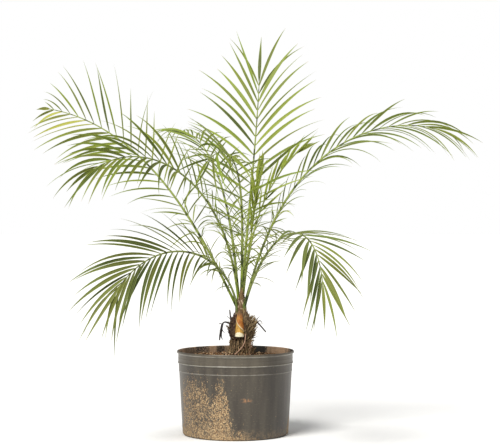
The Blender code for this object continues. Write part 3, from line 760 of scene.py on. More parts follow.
def place_leaflet(frond, owner, stalk, crowd, spot, row, jitter, options):
    """One leaflet from the blade's spot (0 to 1), on row -1 or 1, or 0 for the end one."""
    place = 1.0 if row == 0 else frond.bare + (1 - frond.bare) * spot**SPACING_POWER
    ahead, face, side = at(stalk.along, place), at(stalk.face, place), at(stalk.side, place)
    loss = BASE_LOSS if spot < 0.5 else frond.tip_loss
    fall = 1 - loss * (2 * spot - 1) ** 2
    length = frond.leaflet * LEAFLET_LENGTH * fall * (1 + LENGTH_JITTER * jitter[0])
    length *= END_SHARE if row == 0 else 1.0
    forward = frond.forward_base + (frond.forward_tip - frond.forward_base) * spot
    forward += FORWARD_JITTER * jitter[1]
    forward = 0.0 if row == 0 else forward
    droop = frond.droop * (1 + DROOP_JITTER * jitter[3])
    root = at(stalk.points, place) + row * side * stalk_half(place)
    radius = blade_radius()
    best_room, best, best_line = -1.0, None, None
    for more_lift, more_forward, shorter in options:
        turn = math.radians(forward + more_forward)
        lift = math.radians(frond.lift + LIFT_JITTER * jitter[2] + more_lift)
        outward = math.cos(lift) * (row or 1) * side + math.sin(lift) * face
        heading = math.cos(turn) * ahead + math.sin(turn) * outward
        line = leaflet_line(root, heading, length * shorter, droop)
        room = crowd.room(line, radius, owner)
        if room > best_room:
            best_room, best_line = room, line
            best = Leaflet(place, row, root, heading, length * max(shorter, LEAST_SHORTER), droop, spot)
        if room >= 0:
            break
    crowd.add(best_line, radius, owner)
    return best


def add_obstacles(crowd):
    """The container's rim and the fibre round the stem, which leaflets hang clear of."""
    angle = np.linspace(0.0, 2 * math.pi, RIM_RODS + 1)
    height = np.full(RIM_RODS + 1, POT_HEIGHT)
    rim = np.stack([RIM_RADIUS * np.cos(angle), RIM_RADIUS * np.sin(angle), height], axis=1)
    crowd.add(rim, np.full(RIM_RODS, 2 * POT_WALL), -1)
    fibre = np.array([(STEM_X, 0.0, CROWN_TOP), (STEM_X, 0.0, SHEATH_TOP - STEM_RADIUS)])
    crowd.add(fibre, np.full(1, STEM_RADIUS + TUFT_ROOM * SHEATH_THICK), -1)


def grow_plant():
    """Every frond's stalk and its leaflets, grown in order with one run of random draws."""
    rng = np.random.default_rng(SEED)
    crowd = Crowd()
    add_obstacles(crowd)
    stalks = [stalk_of(frond) for frond in FRONDS]
    for owner, stalk in enumerate(stalks):
        line = stalk.points[::STALK_ROD_STEPS]
        half = stalk_half(np.linspace(0.0, 1.0, len(line)))[:-1]
        crowd.add(line, half * math.hypot(1.0, STALK_DEPTH), owner)
    options = changes()
    leaflets = []
    for owner, (frond, stalk) in enumerate(zip(FRONDS, stalks)):
        spots = [((pair + 0.5) / frond.pairs, row) for pair in range(frond.pairs) for row in (-1, 1)]
        leaflets.append([
            place_leaflet(frond, owner, stalk, crowd, spot, row, rng.normal(size=4), options)
            for spot, row in spots + [(1.0, 0)]
        ])
    return stalks, leaflets


# Stage


def make_floor(settings):
    """A wide plain floor under the container."""
    build = bmesh.new()
    bmesh.ops.create_circle(build, cap_ends=True, segments=96, radius=settings.floor_radius)
    mesh = bpy.data.meshes.new("floor")
    build.to_mesh(mesh)
    build.free()
    floor = as_object("floor", mesh)
    finish = Finish("pale_floor", 0.9, 0.0)
    finish.colour(opaque(settings.floor))
    mesh.materials.append(finish.material)


def make_lights(settings):
    """Even light all round and one soft key."""
    scene = bpy.context.scene
    world = bpy.data.worlds.new("studio")
    world.use_nodes = True
    sky = world.node_tree.nodes["Background"]
    sky.inputs["Color"].default_value = (1.0, 1.0, 1.0, 1.0)
    sky.inputs["Strength"].default_value = settings.sky
    graph = Graph(world.node_tree)
    seen = graph.add("ShaderNodeBackground", {"Color": (1.0, 1.0, 1.0, 1.0), "Strength": 1.0})
    rays = graph.add("ShaderNodeLightPath").outputs["Is Camera Ray"]
    both = graph.add("ShaderNodeMixShader", {0: rays, 1: sky.outputs[0], 2: seen.outputs[0]})
    graph.put(world.node_tree.nodes["World Output"], "Surface", both.outputs[0])
    scene.world = world
    lamp = bpy.data.lights.new("key", "SUN")
    lamp.energy = settings.key
    lamp.angle = settings.softness
    lamp.color = settings.key_colour
    key = bpy.data.objects.new("key", lamp)
    scene.collection.objects.link(key)
    level = math.cos(settings.key_rise)
    toward = Vector((
        level * math.cos(settings.key_turn), level * math.sin(settings.key_turn), math.sin(settings.key_rise)
    ))  # fmt: skip
    key.rotation_euler = toward.to_track_quat("Z", "Y").to_euler()
    key.location = toward * 4.0


def make_camera(settings):
    """A long lens in front of the plant."""
    lens = bpy.data.cameras.new("camera")
    lens.lens = settings.lens
    lens.sensor_width = 36.0
    camera = bpy.data.objects.new("camera", lens)
    camera.location = settings.camera
    camera.rotation_euler = (math.radians(90.0), 0.0, 0.0)
    bpy.context.scene.collection.objects.link(camera)
    bpy.context.scene.camera = camera
    bpy.context.scene.view_settings.view_transform = "Standard"


# Container


def pot_profile(wall, ridge):
    """The container's section as (radius, height): up the inside, then down the mouldings outside."""
    outer = [
        (RIM_RADIUS - wall, POT_HEIGHT),
        (RIM_RADIUS - ridge / 2, POT_HEIGHT - ridge),
        (RIM_RADIUS, POT_HEIGHT - 2 * ridge),
        (RIM_RADIUS, LIP_BOTTOM + ridge),
        (RIM_RADIUS - ridge, LIP_BOTTOM),
        (BAND_RADIUS, LIP_BOTTOM - ridge),
        (BAND_RADIUS, (LIP_BOTTOM + BAND_BOTTOM) / 2 + ridge),
        (BAND_RADIUS + ridge / 3, (LIP_BOTTOM + BAND_BOTTOM) / 2),
        (BAND_RADIUS, (LIP_BOTTOM + BAND_BOTTOM) / 2 - ridge),
        (BAND_RADIUS, BAND_BOTTOM + 2 * ridge),
        (BAND_RADIUS + ridge, BAND_BOTTOM + ridge),
        (BAND_RADIUS + ridge, BAND_BOTTOM),
        (BODY_RADIUS + ridge, BAND_BOTTOM - ridge),
        (BODY_RADIUS + ridge / 2, STEP_BOTTOM + ridge),
        (BODY_RADIUS + ridge, STEP_BOTTOM),
        (BODY_RADIUS, STEP_BOTTOM - 2 * ridge),
        (BASE_RADIUS, 2 * wall),
        (BASE_RADIUS - wall, wall),
        (BASE_RADIUS - FOOT_IN, 0.0),
        (BASE_RADIUS - FOOT_IN - FOOT_WIDTH, 0.0),
        (BASE_RADIUS - FOOT_IN - FOOT_WIDTH - GROOVE_SLOPE, GROOVE_RISE),
        (GROOVE_INNER, GROOVE_RISE),
        (PAD_RADIUS, 0.0),
        (0.0, 0.0),
    ]
    inner = [
        (0.0, wall),
        (PAD_RADIUS - wall / 2, wall),
        (GROOVE_INNER, GROOVE_RISE + wall),
        (BASE_RADIUS - FOOT_IN - FOOT_WIDTH - GROOVE_SLOPE, GROOVE_RISE + wall),
        (BASE_RADIUS - FOOT_IN - FOOT_WIDTH + wall / 2, wall),
        (BASE_RADIUS - 3 * wall, wall),
        (BASE_RADIUS - wall, 3 * wall),
        (BODY_RADIUS - wall, STEP_BOTTOM),
        (BAND_RADIUS - wall, BAND_BOTTOM + ridge),
        (RIM_RADIUS - 2 * wall, POT_HEIGHT - ridge),
    ]
    return inner + outer


def drain_cutter():
    """Round rods that cut the drain holes out of the raised ring in the bottom."""
    build = bmesh.new()
    middle = (GROOVE_INNER + BASE_RADIUS - FOOT_IN - FOOT_WIDTH - GROOVE_SLOPE) / 2
    for hole in range(DRAIN_HOLES):
        angle = 2 * math.pi * (hole + 0.5) / DRAIN_HOLES
        made = bmesh.ops.create_cone(
            build, cap_ends=True, segments=DRAIN_STEPS,
            radius1=DRAIN_RADIUS, radius2=DRAIN_RADIUS, depth=4 * GROOVE_RISE,
        )  # fmt: skip
        centre = Vector((middle * math.cos(angle), middle * math.sin(angle), GROOVE_RISE))
        bmesh.ops.translate(build, verts=made["verts"], vec=centre)
    mesh = bpy.data.meshes.new("drain_cutter")
    build.to_mesh(mesh)
    build.free()
    return as_object("drain_cutter", mesh)


def mud_edge(finish, across):
    """The height that the mud reaches at a place across the front."""
    node = finish.add("ShaderNodeFloatCurve")
    curve = node.mapping.curves[0]
    while len(curve.points) < len(MUD_EDGE):
        curve.points.new(0.5, 0.5)
    for point, (x, height) in zip(curve.points, MUD_EDGE):
        point.location = ((x + 1) / 2, height / POT_HEIGHT)
    node.mapping.update()
    finish.put(node, "Value", finish.span(across, -RIM_RADIUS, RIM_RADIUS))
    return finish.times(node.outputs[0], POT_HEIGHT)


def mud_cover(finish, front, grain, clots):
    """Mud up to a ragged edge: dense below, in specks above, and thinner on the left."""
    x, _, z = finish.xyz(finish.place)
    behind = finish.span(finish.noise(9.0, 2.0), 0.40, 0.75, 0.0, MUD_BEHIND)
    edge = finish.times(mud_edge(finish, x), front)
    edge = finish.plus(edge, finish.times(behind, finish.minus(1.0, front)))
    ragged = finish.span(finish.noise(60.0, 4.0, 0.7, (1.0, 1.0, 0.35)), 0.3, 0.7, *MUD_RAGGED)
    below = finish.minus(finish.plus(edge, ragged), z)
    wet = finish.span(below, 0.0, MUD_FADE)
    speck = finish.plus(finish.times(grain, 0.55), finish.times(clots, 0.45))
    thin = finish.span(x, -0.045, -0.060, 0.0, 0.030)
    least = finish.plus(finish.span(wet, 0.0, 1.0, 0.60, 0.455), thin)
    mud = finish.span(finish.minus(speck, least), 0.0, 0.03)
    mud = finish.times(mud, finish.span(below, 0.0, 0.012))
    low = finish.times(finish.span(z, 0.030, 0.008), finish.span(finish.noise(120.0, 4.0, 0.7), 0.44, 0.56))
    low = finish.times(low, finish.span(x, 0.06, -0.02, 0.25, 1.0))
    flecks = finish.span(finish.noise(260.0, 2.0, 0.5), 0.735, 0.76)
    return finish.maths("MAXIMUM", finish.maths("MAXIMUM", mud, low), flecks)


def dusty_plastic(finish, settings, z):
    """Plastic under streaks of dust, with scuffs, the rim band drawn paler, and painted highlight lines along
    the mouldings' edges.
    """
    film = finish.span(finish.noise(38.0, 4.0, 0.6, (1.0, 1.0, 0.10)), 0.35, 0.70, 0.05, 0.75)
    scuffs = finish.span(finish.noise(620.0, 2.0, 0.5, (0.25, 0.25, 1.0)), 0.60, 0.70, 0.0, 0.5)
    # The rim band above the band's bottom is drawn paler, towards the dust colour.
    band = finish.span(z, BAND_BOTTOM - 0.001, BAND_BOTTOM + 0.001, 0.0, RIM_BAND_PALER)
    film = finish.plus(finish.plus(film, scuffs, clamp=True), band, clamp=True)
    plastic = finish.mix(film, settings.plastic, settings.dust)
    # Painted highlight: pale lines along the lip, band and step edges, broken up by noise, stand for the
    # light that the ridges catch.
    highlight_breaks = finish.span(finish.noise(55.0, 3.0, 0.6, (1.0, 1.0, 0.1)), 0.30, 0.55, 0.25, 1.0)
    edges = ((LIP_BOTTOM, 0.75), (BAND_BOTTOM + settings.ridge / 2, 0.75), (STEP_BOTTOM, 0.45))
    for height, strength in edges:
        off = finish.maths("ABSOLUTE", finish.minus(z, height))
        line = finish.times(finish.span(off, 0.0016, 0.0004, 0.0, strength), highlight_breaks)
        plastic = finish.mix(line, plastic, settings.ridge_highlight)
    return plastic


def stained_wall(finish, settings, grain, x, y):
    """The wall's inside: brown runs of dried soil water, with bare stretches and a painted shadow band at the
    back, both drawn in half the plastic's colour.
    """
    runs = finish.noise(34.0, 3.0, 0.65, (1.0, 1.0, 0.12))
    stain = finish.mix(finish.span(runs, 0.42, 0.56), settings.plastic, settings.stain)
    stain = finish.mix(finish.span(grain, 0.52, 0.62, 0.0, 0.7), stain, settings.stain_pale)
    bare = finish.span(finish.noise(11.0, 2.0, 0.5, (1.0, 1.0, 0.1)), 0.56, 0.62)
    # Painted shadow: a dark upright band on the back wall, drawn in half the plastic's colour together with
    # the bare stretches.
    shadow_gap = finish.times(finish.span(x, 0.034, 0.038), finish.span(x, 0.074, 0.070))
    bare = finish.maths("MAXIMUM", bare, finish.times(shadow_gap, finish.span(y, 0.0, 0.02)))
    return finish.mix(bare, stain, scaled(settings.plastic, 0.5))


def pot_finish(settings):
    """Scuffed plastic with a film of dust, tan mud splashed up from the ground, and a painted shade band down
    the front's right side.
    """
    finish = Finish("pot_plastic", 0.42)
    x, y, z = finish.xyz(finish.place)
    front = finish.span(y, -0.02, -0.05)
    grain = finish.noise(470.0, 2.0, 0.6, (1.0, 1.0, 0.7))
    clots = finish.noise(165.0, 5.0, 0.70, (1.0, 1.0, 0.6))
    mud = mud_cover(finish, front, grain, clots)
    plastic = dusty_plastic(finish, settings, z)
    # Painted shade: a darker upright band down the front's right side, in half the plastic's colour.
    shade = finish.times(finish.span(x, 0.066, 0.078), finish.span(x, 0.116, 0.104, 0.0, 0.35))
    plastic = finish.mix(finish.times(shade, front), plastic, scaled(settings.plastic, 0.5))
    across = finish.maths("DIVIDE", finish.minus(x, SMUDGE_PLACE[0]), SMUDGE_REACH[0])
    up = finish.maths("DIVIDE", finish.minus(z, SMUDGE_PLACE[1]), SMUDGE_REACH[1])
    smudge = finish.span(finish.vector_maths("LENGTH", finish.combine(across, up)), 1.1, 0.5)
    smudge = finish.times(smudge, finish.span(clots, 0.44, 0.56, 0.0, 0.75))
    plastic = finish.mix(finish.times(smudge, front), plastic, settings.smudge)
    from_axis = finish.vector_maths("MULTIPLY", finish.place, (1.0, 1.0, 0.0))
    inside = finish.span(finish.vector_maths("DOT_PRODUCT", finish.facing, from_axis), 0.0, -0.02)
    plastic = finish.mix(inside, plastic, stained_wall(finish, settings, grain, x, y))
    tone = finish.noise(520.0, 4.0, 0.7, (1.0, 1.0, 0.7))
    dried = finish.mix(finish.span(tone, 0.46, 0.56), settings.mud_dark, settings.mud)
    finish.colour(finish.mix(mud, plastic, dried))
    finish.rough(finish.span(mud, 0.0, 1.0, 0.40, 0.95))
    dents = finish.times(finish.noise(14.0, 2.0), 0.35)
    fine = finish.times(finish.noise(900.0, 2.0), 0.03)
    finish.bump(finish.plus(finish.times(mud, 0.5), finish.plus(dents, fine)), 0.5, 0.0012)
    return finish.material


def make_pot(settings):
    """The turned container with its drain holes cut."""
    profile = pot_profile(settings.wall, settings.ridge)
    pot = turned("nursery_pot_moulded", rounded(profile, settings.ridge * 0.9), settings.steps)
    cutter = drain_cutter()
    cut = pot.modifiers.new("drains", "BOOLEAN")
    cut.operation = "DIFFERENCE"
    cut.object = cutter
    plain_mesh(pot)
    bpy.data.objects.remove(cutter)
    finish_piece(smooth(pot, 35.0), "pot_plastic", "nursery_pot", material=pot_finish(settings))


# Soil


def soil_height(radius, angle, settings):
    """The soil's surface: a mound to the stem, with lumps that fade at the wall."""
    wall = BODY_RADIUS - POT_WALL
    x, y = radius * math.cos(angle), radius * math.sin(angle)
    off_stem = math.hypot(x - STEM_X, y)
    mound = settings.mound * math.exp(-((off_stem / 0.055) ** 2))
    heap = 0.006 * math.exp(-(((x + 0.022) / 0.020) ** 2) - ((y + 0.030) / 0.025) ** 2)
    coarse = noise.fractal(Vector((x, y, 0.3)) * 38.0, 0.9, 2.1, 3)
    fine = noise.fractal(Vector((x, y, 1.7)) * 170.0, 0.8, 2.2, 3)
    fade = min(1.0, (wall - radius) / 0.010 + 0.25)
    return SOIL_LEVEL + mound + heap + settings.lumps * (0.55 * coarse + 0.30 * fine) * fade


def soil_finish(settings):
    """Dark earth between crumbs that run from black bark to pale straw."""
    finish = Finish("soil", 0.93, 0.25)
    broad = finish.noise(45.0, 4.0, 0.65)
    grit = finish.noise(330.0, 4.0, 0.7)
    tint = finish.attribute("tint")
    earth = finish.mix(finish.span(grit, 0.40, 0.70), scaled(settings.brown, 0.3), settings.brown)
    earth = finish.mix(finish.span(broad, 0.50, 0.70, 0.0, 0.35), earth, settings.orange)
    woody = finish.mix(finish.span(tint, 0.42, 0.64), settings.brown, settings.orange)
    bark = finish.mix(finish.span(grit, 0.35, 0.65), scaled(settings.brown, 0.4), woody)
    crumbs = finish.mix(finish.span(tint, 0.72, 0.78), bark, settings.straw)
    finish.colour(finish.mix(finish.span(tint, 0.30, 0.34), earth, crumbs))
    fine = finish.times(finish.noise(900.0, 2.0), 0.4)
    finish.bump(finish.plus(grit, fine), 0.7, 0.0011)
    return finish.material


def crumb_tree():
    """Crumbs and splinters over the faces marked as the surface."""
    graph, given = new_tree("soil_crumbs", {
        "Crumb Size": "Float", "Crumbs per Area": "Float", "Seed": "Int", "Material": "Material",
    })  # fmt: skip
    seed = given["Seed"]
    scatter = graph.add("GeometryNodeDistributePointsOnFaces", {
        "Mesh": given["Geometry"], "Selection": graph.named("surface"), "Density": given["Crumbs per Area"],
        "Seed": seed,
    })  # fmt: skip
    ball = graph.add("GeometryNodeMeshIcoSphere", {"Radius": 0.5, "Subdivisions": 2}).outputs[0]
    wobble = graph.add("ShaderNodeTexNoise", {"Scale": 2.3, "Detail": 1.0}).outputs["Color"]
    shift = graph.vector_maths("SUBTRACT", wobble, (0.5, 0.5, 0.5))
    sizes = graph.chance((0.35, 0.25, 0.2), (1.5, 0.9, 0.6), seed)
    spread = graph.add("GeometryNodeInstanceOnPoints", {
        "Points": scatter.outputs[0],
        "Instance": graph.moved(ball, graph.vector_maths("SCALE", shift, scale=0.9)),
        "Rotation": graph.chance((0.0, 0.0, 0.0), (6.3, 6.3, 6.3), seed),
        "Scale": graph.vector_maths("SCALE", sizes, scale=given["Crumb Size"]),
    }).outputs[0]  # fmt: skip
    tinted = graph.store(spread, "tint", graph.chance(0.31, 0.84, seed), domain="INSTANCE")
    return end_tree(graph, graph.join(tinted, given["Geometry"]), given["Material"])


def make_soil(settings):
    """The root ball with its lumpy surface, and the crumbs that lie on it."""
    wall = BODY_RADIUS - POT_WALL - 2 * SEAT_GAP
    radii = [wall * (ring / SOIL_RINGS) for ring in range(1, SOIL_RINGS + 1)]
    build = bmesh.new()
    surface = build.faces.layers.float.new("surface")
    tint = build.verts.layers.float.new("tint")
    middle = build.verts.new((0.0, 0.0, soil_height(0.0, 0.0, settings)))
    angles = [2 * math.pi * turn / SOIL_TURNS for turn in range(SOIL_TURNS)]
    rings = [
        [build.verts.new((r * math.cos(a), r * math.sin(a), soil_height(r, a, settings))) for a in angles]
        for r in radii
    ]
    low = POT_WALL + SEAT_GAP + GROOVE_RISE
    lower = ((wall, STEP_BOTTOM), (BASE_RADIUS - 2 * POT_WALL, 3 * POT_WALL), (GROOVE_INNER, low))
    for radius, height in lower:
        rings.append([build.verts.new((radius * math.cos(a), radius * math.sin(a), height)) for a in angles])
    floor = build.verts.new((0.0, 0.0, low))
    for turn in range(SOIL_TURNS):
        after = (turn + 1) % SOIL_TURNS
        build.faces.new((middle, rings[0][turn], rings[0][after]))
        build.faces.new((floor, rings[-1][after], rings[-1][turn]))
        for ring, (inner, outer) in enumerate(zip(rings, rings[1:])):
            face = build.faces.new((inner[turn], outer[turn], outer[after], inner[after]))
            face[surface] = 1.0 if ring < len(radii) - 2 else 0.0
    for vert in build.verts:
        vert[tint] = 0.0
    mesh = bpy.data.meshes.new("potting_soil_loose")
    build.to_mesh(mesh)
    build.free()
    soil = as_object("potting_soil_loose", mesh)
    values = {
        "Crumb Size": settings.crumb, "Crumbs per Area": float(settings.crumbs), "Seed": 3,
        "Material": soil_finish(settings),
    }  # fmt: skip
    finish_piece(grow(soil, crumb_tree(), values), "soil", "potting_soil")


# Roots, fibre, stem and old leaf bases


def evenly(values, steps):
    """The values spread evenly over steps + 1 points."""
    return np.interp(np.linspace(0, 1, steps + 1), np.linspace(0, 1, len(values)), values)


def smooth_path(points, steps):
    """A smooth line through the points, with as many steps as asked for in all."""
    points = np.asarray(points, dtype=float)
    ends = np.concatenate([[2 * points[0] - points[1]], points, [2 * points[-1] - points[-2]]])
    made = []
    for place in np.linspace(0.0, len(points) - 1, steps + 1):
        first = min(int(place), len(points) - 2)
        t = place - first
        a, b, c, d = ends[first:first + 4]
        bends = (2 * a - 5 * b + 4 * c - d) * t**2 + (3 * b - a - 3 * c + d) * t**3
        made.append((2 * b + (c - a) * t + bends) / 2)
    return np.array(made)


def round_stem(angle, out, height):
    """A point at an azimuth, out from the stem's skin, at a height."""
    reach = STEM_RADIUS + out
    return np.array((STEM_X + reach * math.cos(angle), reach * math.sin(angle), height))


def add_strand(rails, points, half, outward, tint, depth=1.0):
    """A rail for a root, a stalk or a strip; its flat side faces outward."""
    points = np.asarray(points, dtype=float)
    ahead = unit(np.gradient(points, axis=0))
    broad = unit(np.cross(outward, ahead))
    rails.add(points, kind=STALK_KIND, half=half, broad=broad, up=np.cross(ahead, broad), depth=depth,
              place=np.linspace(0.0, 1.0, len(points)), tint=tint, gold=0.0)  # fmt: skip


def roughen(obj, heights, scale, seed):
    """Moves each point along its normal by fractal noise."""
    mesh = obj.data
    normals = [vert.normal.copy() for vert in mesh.vertices]
    for vert, normal in zip(mesh.vertices, normals):
        vert.co += normal * heights * noise.fractal(vert.co * scale + Vector((seed, 0.0, 0.0)), 0.8, 2.1, 4)
    return obj


def crown_finish(settings):
    """Brown roots of many tones, soiled at their ends, with a few fresh pale ones."""
    finish = Finish("roots", 0.9, 0.25)
    tint, along = finish.attribute("tint"), finish.attribute("place")
    grain = finish.noise(420.0, 4.0, 0.7)
    dark, middle, pale = (scaled(settings.root_brown, by) for by in (0.30, 2.1, 3.2))
    brown = finish.mix(finish.span(tint, 0.10, 0.85), dark, pale)
    brown = finish.mix(finish.span(grain, 0.40, 0.68, 0.0, 0.7), brown, middle)
    soiled = finish.mix(finish.span(along, 0.62, 1.0, 0.0, 0.55), brown, settings.root_brown)
    finish.colour(finish.mix(finish.span(tint, 0.90, 0.94), soiled, settings.root_pale))
    finish.bump(grain, 0.6, 0.0008)
    return finish.material


def make_root_crown(settings, sweep, tufts):
    """A lumpy core inside a skirt of roots that run down into the soil."""
    tall = CROWN_TOP - SOIL_LEVEL
    outline = [(STEM_RADIUS + SHEATH_THICK * out, SOIL_LEVEL + tall * up) for out, up in CROWN_SHAPE]
    profile = [(0.0, CROWN_TOP + 0.002), *outline, (0.0, outline[-1][1])]
    core = roughen(turned("root_core", rounded(profile, 0.004), 72, STEM_X), 0.0035, 150.0, 2.0)
    material = crown_finish(settings)
    grow(core, tufts, {
        "Strip Length": settings.root_tuft, "Strips per Area": float(settings.strips), "Seed": 8,
        "Hairs per Area": float(settings.hairs), "Material": material,
    })  # fmt: skip
    rng = np.random.default_rng(SEED + 1)
    rails = Rails()
    for _ in range(settings.roots):
        angle = rng.uniform(0.0, 2 * math.pi)
        start = rng.uniform(0.35, 1.02)
        lean = rng.normal() * 0.38
        spread = rng.uniform(0.012, 0.022) if rng.uniform() < 0.85 else rng.uniform(0.022, 0.036)
        points = []
        for place in np.linspace(0.0, 1.0, 6):
            out = 0.0100 + (spread - 0.0100) * place**1.6 + rng.normal() * 0.0009
            height = SOIL_LEVEL + tall * start * (1 - place) ** 1.15 - 0.004 * place + 0.004 * (1 - place)
            points.append(round_stem(angle + lean * place + rng.normal() * 0.07, out, height))
        outward = np.array((math.cos(angle), math.sin(angle), 0.3))
        half = settings.root_half * rng.uniform(0.45, 1.35) * np.array(ROOT_TAPER)
        add_strand(rails, smooth_path(points, 8), half, outward, rng.uniform(0.0, 0.88))
    pale = [round_stem(math.radians(turn), out, SOIL_LEVEL + up) for turn, out, up in PALE_ROOT]
    add_strand(rails, smooth_path(pale, 16), 0.0012, np.array((0.0, -1.0, 0.3)), 1.0)
    loose = as_object("root_strands", rails.to_mesh("root_strands"))
    grow(loose, sweep, {"Stalk Sides": 6, "Material": material})
    crown = joined("root_crown_roots", [core, loose])
    finish_piece(smooth(crown, 60.0), "roots", "root_crown", material=material)


def fibre_finish(settings):
    """Old fibre: purple-brown on the left, olive-brown on the right, in clumps, with bright strip ends."""
    finish = Finish("fibre", 0.85, 0.3)
    tint, along = finish.attribute("tint"), finish.attribute("place")
    x = finish.xyz(finish.place)[0]
    side = finish.span(x, STEM_X - 0.018, STEM_X + 0.014)
    clumps = finish.span(finish.noise(170.0, 3.0, 0.6, (1.0, 1.0, 0.5)), 0.42, 0.58, 0.0, 0.5)
    tone = finish.plus(finish.times(tint, 0.35), finish.times(side, 0.40))
    tone = finish.plus(tone, clumps)
    base = finish.mix(finish.span(tone, 0.25, 0.95), settings.fibre_dark, settings.fibre_light)
    bright = finish.times(finish.span(along, 0.30, 1.0, 0.0, 0.8), finish.span(tint, 0.35, 0.8))
    base = finish.mix(bright, base, scaled(settings.fibre_light, 1.7))
    grain = finish.noise(700.0, 3.0, 0.6, (1.0, 1.0, 0.3))
    cracks = finish.span(grain, 0.35, 0.7, 0.0, 0.6)
    finish.colour(finish.mix(cracks, base, scaled(settings.fibre_dark, 0.4)))
    finish.bump(grain, 0.5, 0.0006)
    return finish.material


def tuft_tree():
    """Bent strips and loose hairs that stand on a body, combed outward and up."""
    graph, given = new_tree("fibre_tufts", {
        "Strip Length": "Float", "Strips per Area": "Float", "Hairs per Area": "Float", "Seed": "Int",
        "Material": "Material",
    })  # fmt: skip

    def chance(low, high, seed):
        return graph.chance(low, high, graph.plus(given["Seed"], seed))

    def blade(width, flat, bend):
        line = graph.add("GeometryNodeCurvePrimitiveLine", {"End": (0.0, 0.0, 1.0)}).outputs[0]
        line = graph.add("GeometryNodeResampleCurve", {"Curve": line, "Count": 5}).outputs[0]
        place = graph.add("GeometryNodeSplineParameter").outputs["Factor"]
        line = graph.store(line, "place", place)
        line = graph.moved(line, graph.combine(0.0, graph.times(graph.times(place, place), bend)))
        ring = graph.add("GeometryNodeCurvePrimitiveCircle", {"Resolution": 4, "Radius": width}).outputs[0]
        ring = graph.add("GeometryNodeTransform", {"Geometry": ring, "Scale": (1.0, flat, 1.0)}).outputs[0]
        return graph.add("GeometryNodeCurveToMesh", {
            "Curve": line, "Profile Curve": ring, "Scale": graph.span(place, 0.35, 1.0, 1.0, 0.25),
            "Fill Caps": True,
        }).outputs[0]  # fmt: skip

    def planted(instance, density, length, loose, seed):
        scatter = graph.add("GeometryNodeDistributePointsOnFaces", {
            "Mesh": given["Geometry"], "Density": density, "Seed": graph.plus(given["Seed"], seed),
        })  # fmt: skip
        x, _, z = graph.xyz(graph.position())
        rise = graph.span(x, STEM_X - 0.02, STEM_X + 0.02, 0.9, 1.3)
        stand = graph.span(x, STEM_X - 0.018, STEM_X + 0.012, 0.52, 1.15)
        reach = graph.span(x, STEM_X - 0.014, STEM_X + 0.016, 0.75, 1.20)
        reach = graph.times(reach, graph.span(z, SHEATH_TOP - 0.030, SHEATH_TOP - 0.006, 1.0, 0.40))
        comb = graph.vector_maths("SCALE", scatter.outputs["Normal"], scale=stand)
        comb = graph.vector_maths("ADD", comb, graph.combine(0.0, 0.0, rise))
        comb = graph.vector_maths("ADD", comb, chance((-loose,) * 3, (loose,) * 3, seed + 1))
        aimed = graph.add("FunctionNodeAlignRotationToVector", {"Vector": comb}, axis="Z").outputs[0]
        spun = graph.add("FunctionNodeRotateRotation", {
            "Rotation": aimed, "Rotate By": graph.combine(0.0, 0.0, chance(0.0, 6.3, seed + 2)),
        }, rotation_space="LOCAL").outputs[0]  # fmt: skip
        length = graph.times(graph.times(length, reach), chance(0.5, 1.3, seed + 3))
        placed = graph.add("GeometryNodeInstanceOnPoints", {
            "Points": scatter.outputs[0], "Instance": instance, "Rotation": spun, "Scale": length,
        }).outputs[0]  # fmt: skip
        return graph.store(placed, "tint", chance(0.0, 1.0, seed + 4), domain="INSTANCE")

    strip, hair = blade(0.14, 0.30, 0.10), blade(0.022, 1.0, 0.4)
    long_hair = graph.times(given["Strip Length"], 1.35)
    strips = planted(strip, given["Strips per Area"], given["Strip Length"], 0.40, 10)
    hairs = planted(hair, given["Hairs per Area"], long_hair, 0.8, 20)
    return end_tree(graph, graph.join(strips, hairs, given["Geometry"]), given["Material"])


def make_fibre(settings):
    """A lumpy body of old fibre, open in front for the cut leaf base, with tufts all over it."""
    tall = SHEATH_TOP - CROWN_TOP
    outline = [(STEM_RADIUS + SHEATH_THICK * out, CROWN_TOP + tall * up) for out, up in SHEATH_SHAPE]
    profile = [(0.0, SHEATH_TOP + 0.002), *outline, (0.0, outline[-1][1])]
    body = turned("fibre_sheath_tufts", rounded(profile, 0.005), 96, STEM_X)
    front = math.radians(LEAF_BASE.azimuth)
    for vert in body.data.vertices:
        x, y = vert.co.x - STEM_X, vert.co.y
        radius = math.hypot(x, y)
        if radius < STEM_RADIUS * 0.6:
            continue
        off = abs((math.atan2(y, x) - front + math.pi) % (2 * math.pi) - math.pi)
        pull = 1.0 - min(1.0, max(0.0, (off - 0.32) / 0.20))
        pull *= min(1.0, max(0.0, (SHEATH_TOP + 0.004 - vert.co.z) / 0.008))
        kept = radius + (min(radius, STEM_RADIUS * 1.15) - radius) * pull
        vert.co.x, vert.co.y = STEM_X + x * kept / radius, y * kept / radius
    roughen(body, 0.0040, 120.0, 5.0)
    values = {
        "Strip Length": settings.strip, "Strips per Area": float(settings.strips),
        "Hairs per Area": float(settings.hairs), "Seed": 4, "Material": fibre_finish(settings),
    }  # fmt: skip
    finish_piece(grow(body, tuft_tree(), values), "fibre", "fibre_sheath")


def stem_finish(settings):
    """Brown bark with upright streaks and paler flakes."""
    finish = Finish("stem_bark", 0.8, 0.3)
    tint = finish.attribute("tint")
    streak = finish.noise(260.0, 4.0, 0.65, (1.0, 1.0, 0.12))
    base = finish.mix(finish.span(streak, 0.35, 0.65), scaled(settings.bark, 0.35), settings.bark)
    flakes = finish.span(finish.noise(230.0, 3.0, 0.6, (1.0, 1.0, 0.6)), 0.54, 0.58, 0.0, 0.95)
    base = finish.mix(flakes, base, settings.bark_pale)
    finish.colour(finish.mix(finish.span(tint, 0.70, 0.95, 0.0, 0.6), base, settings.bark_pale))
    finish.bump(streak, 0.7, 0.0010)
    return finish.material


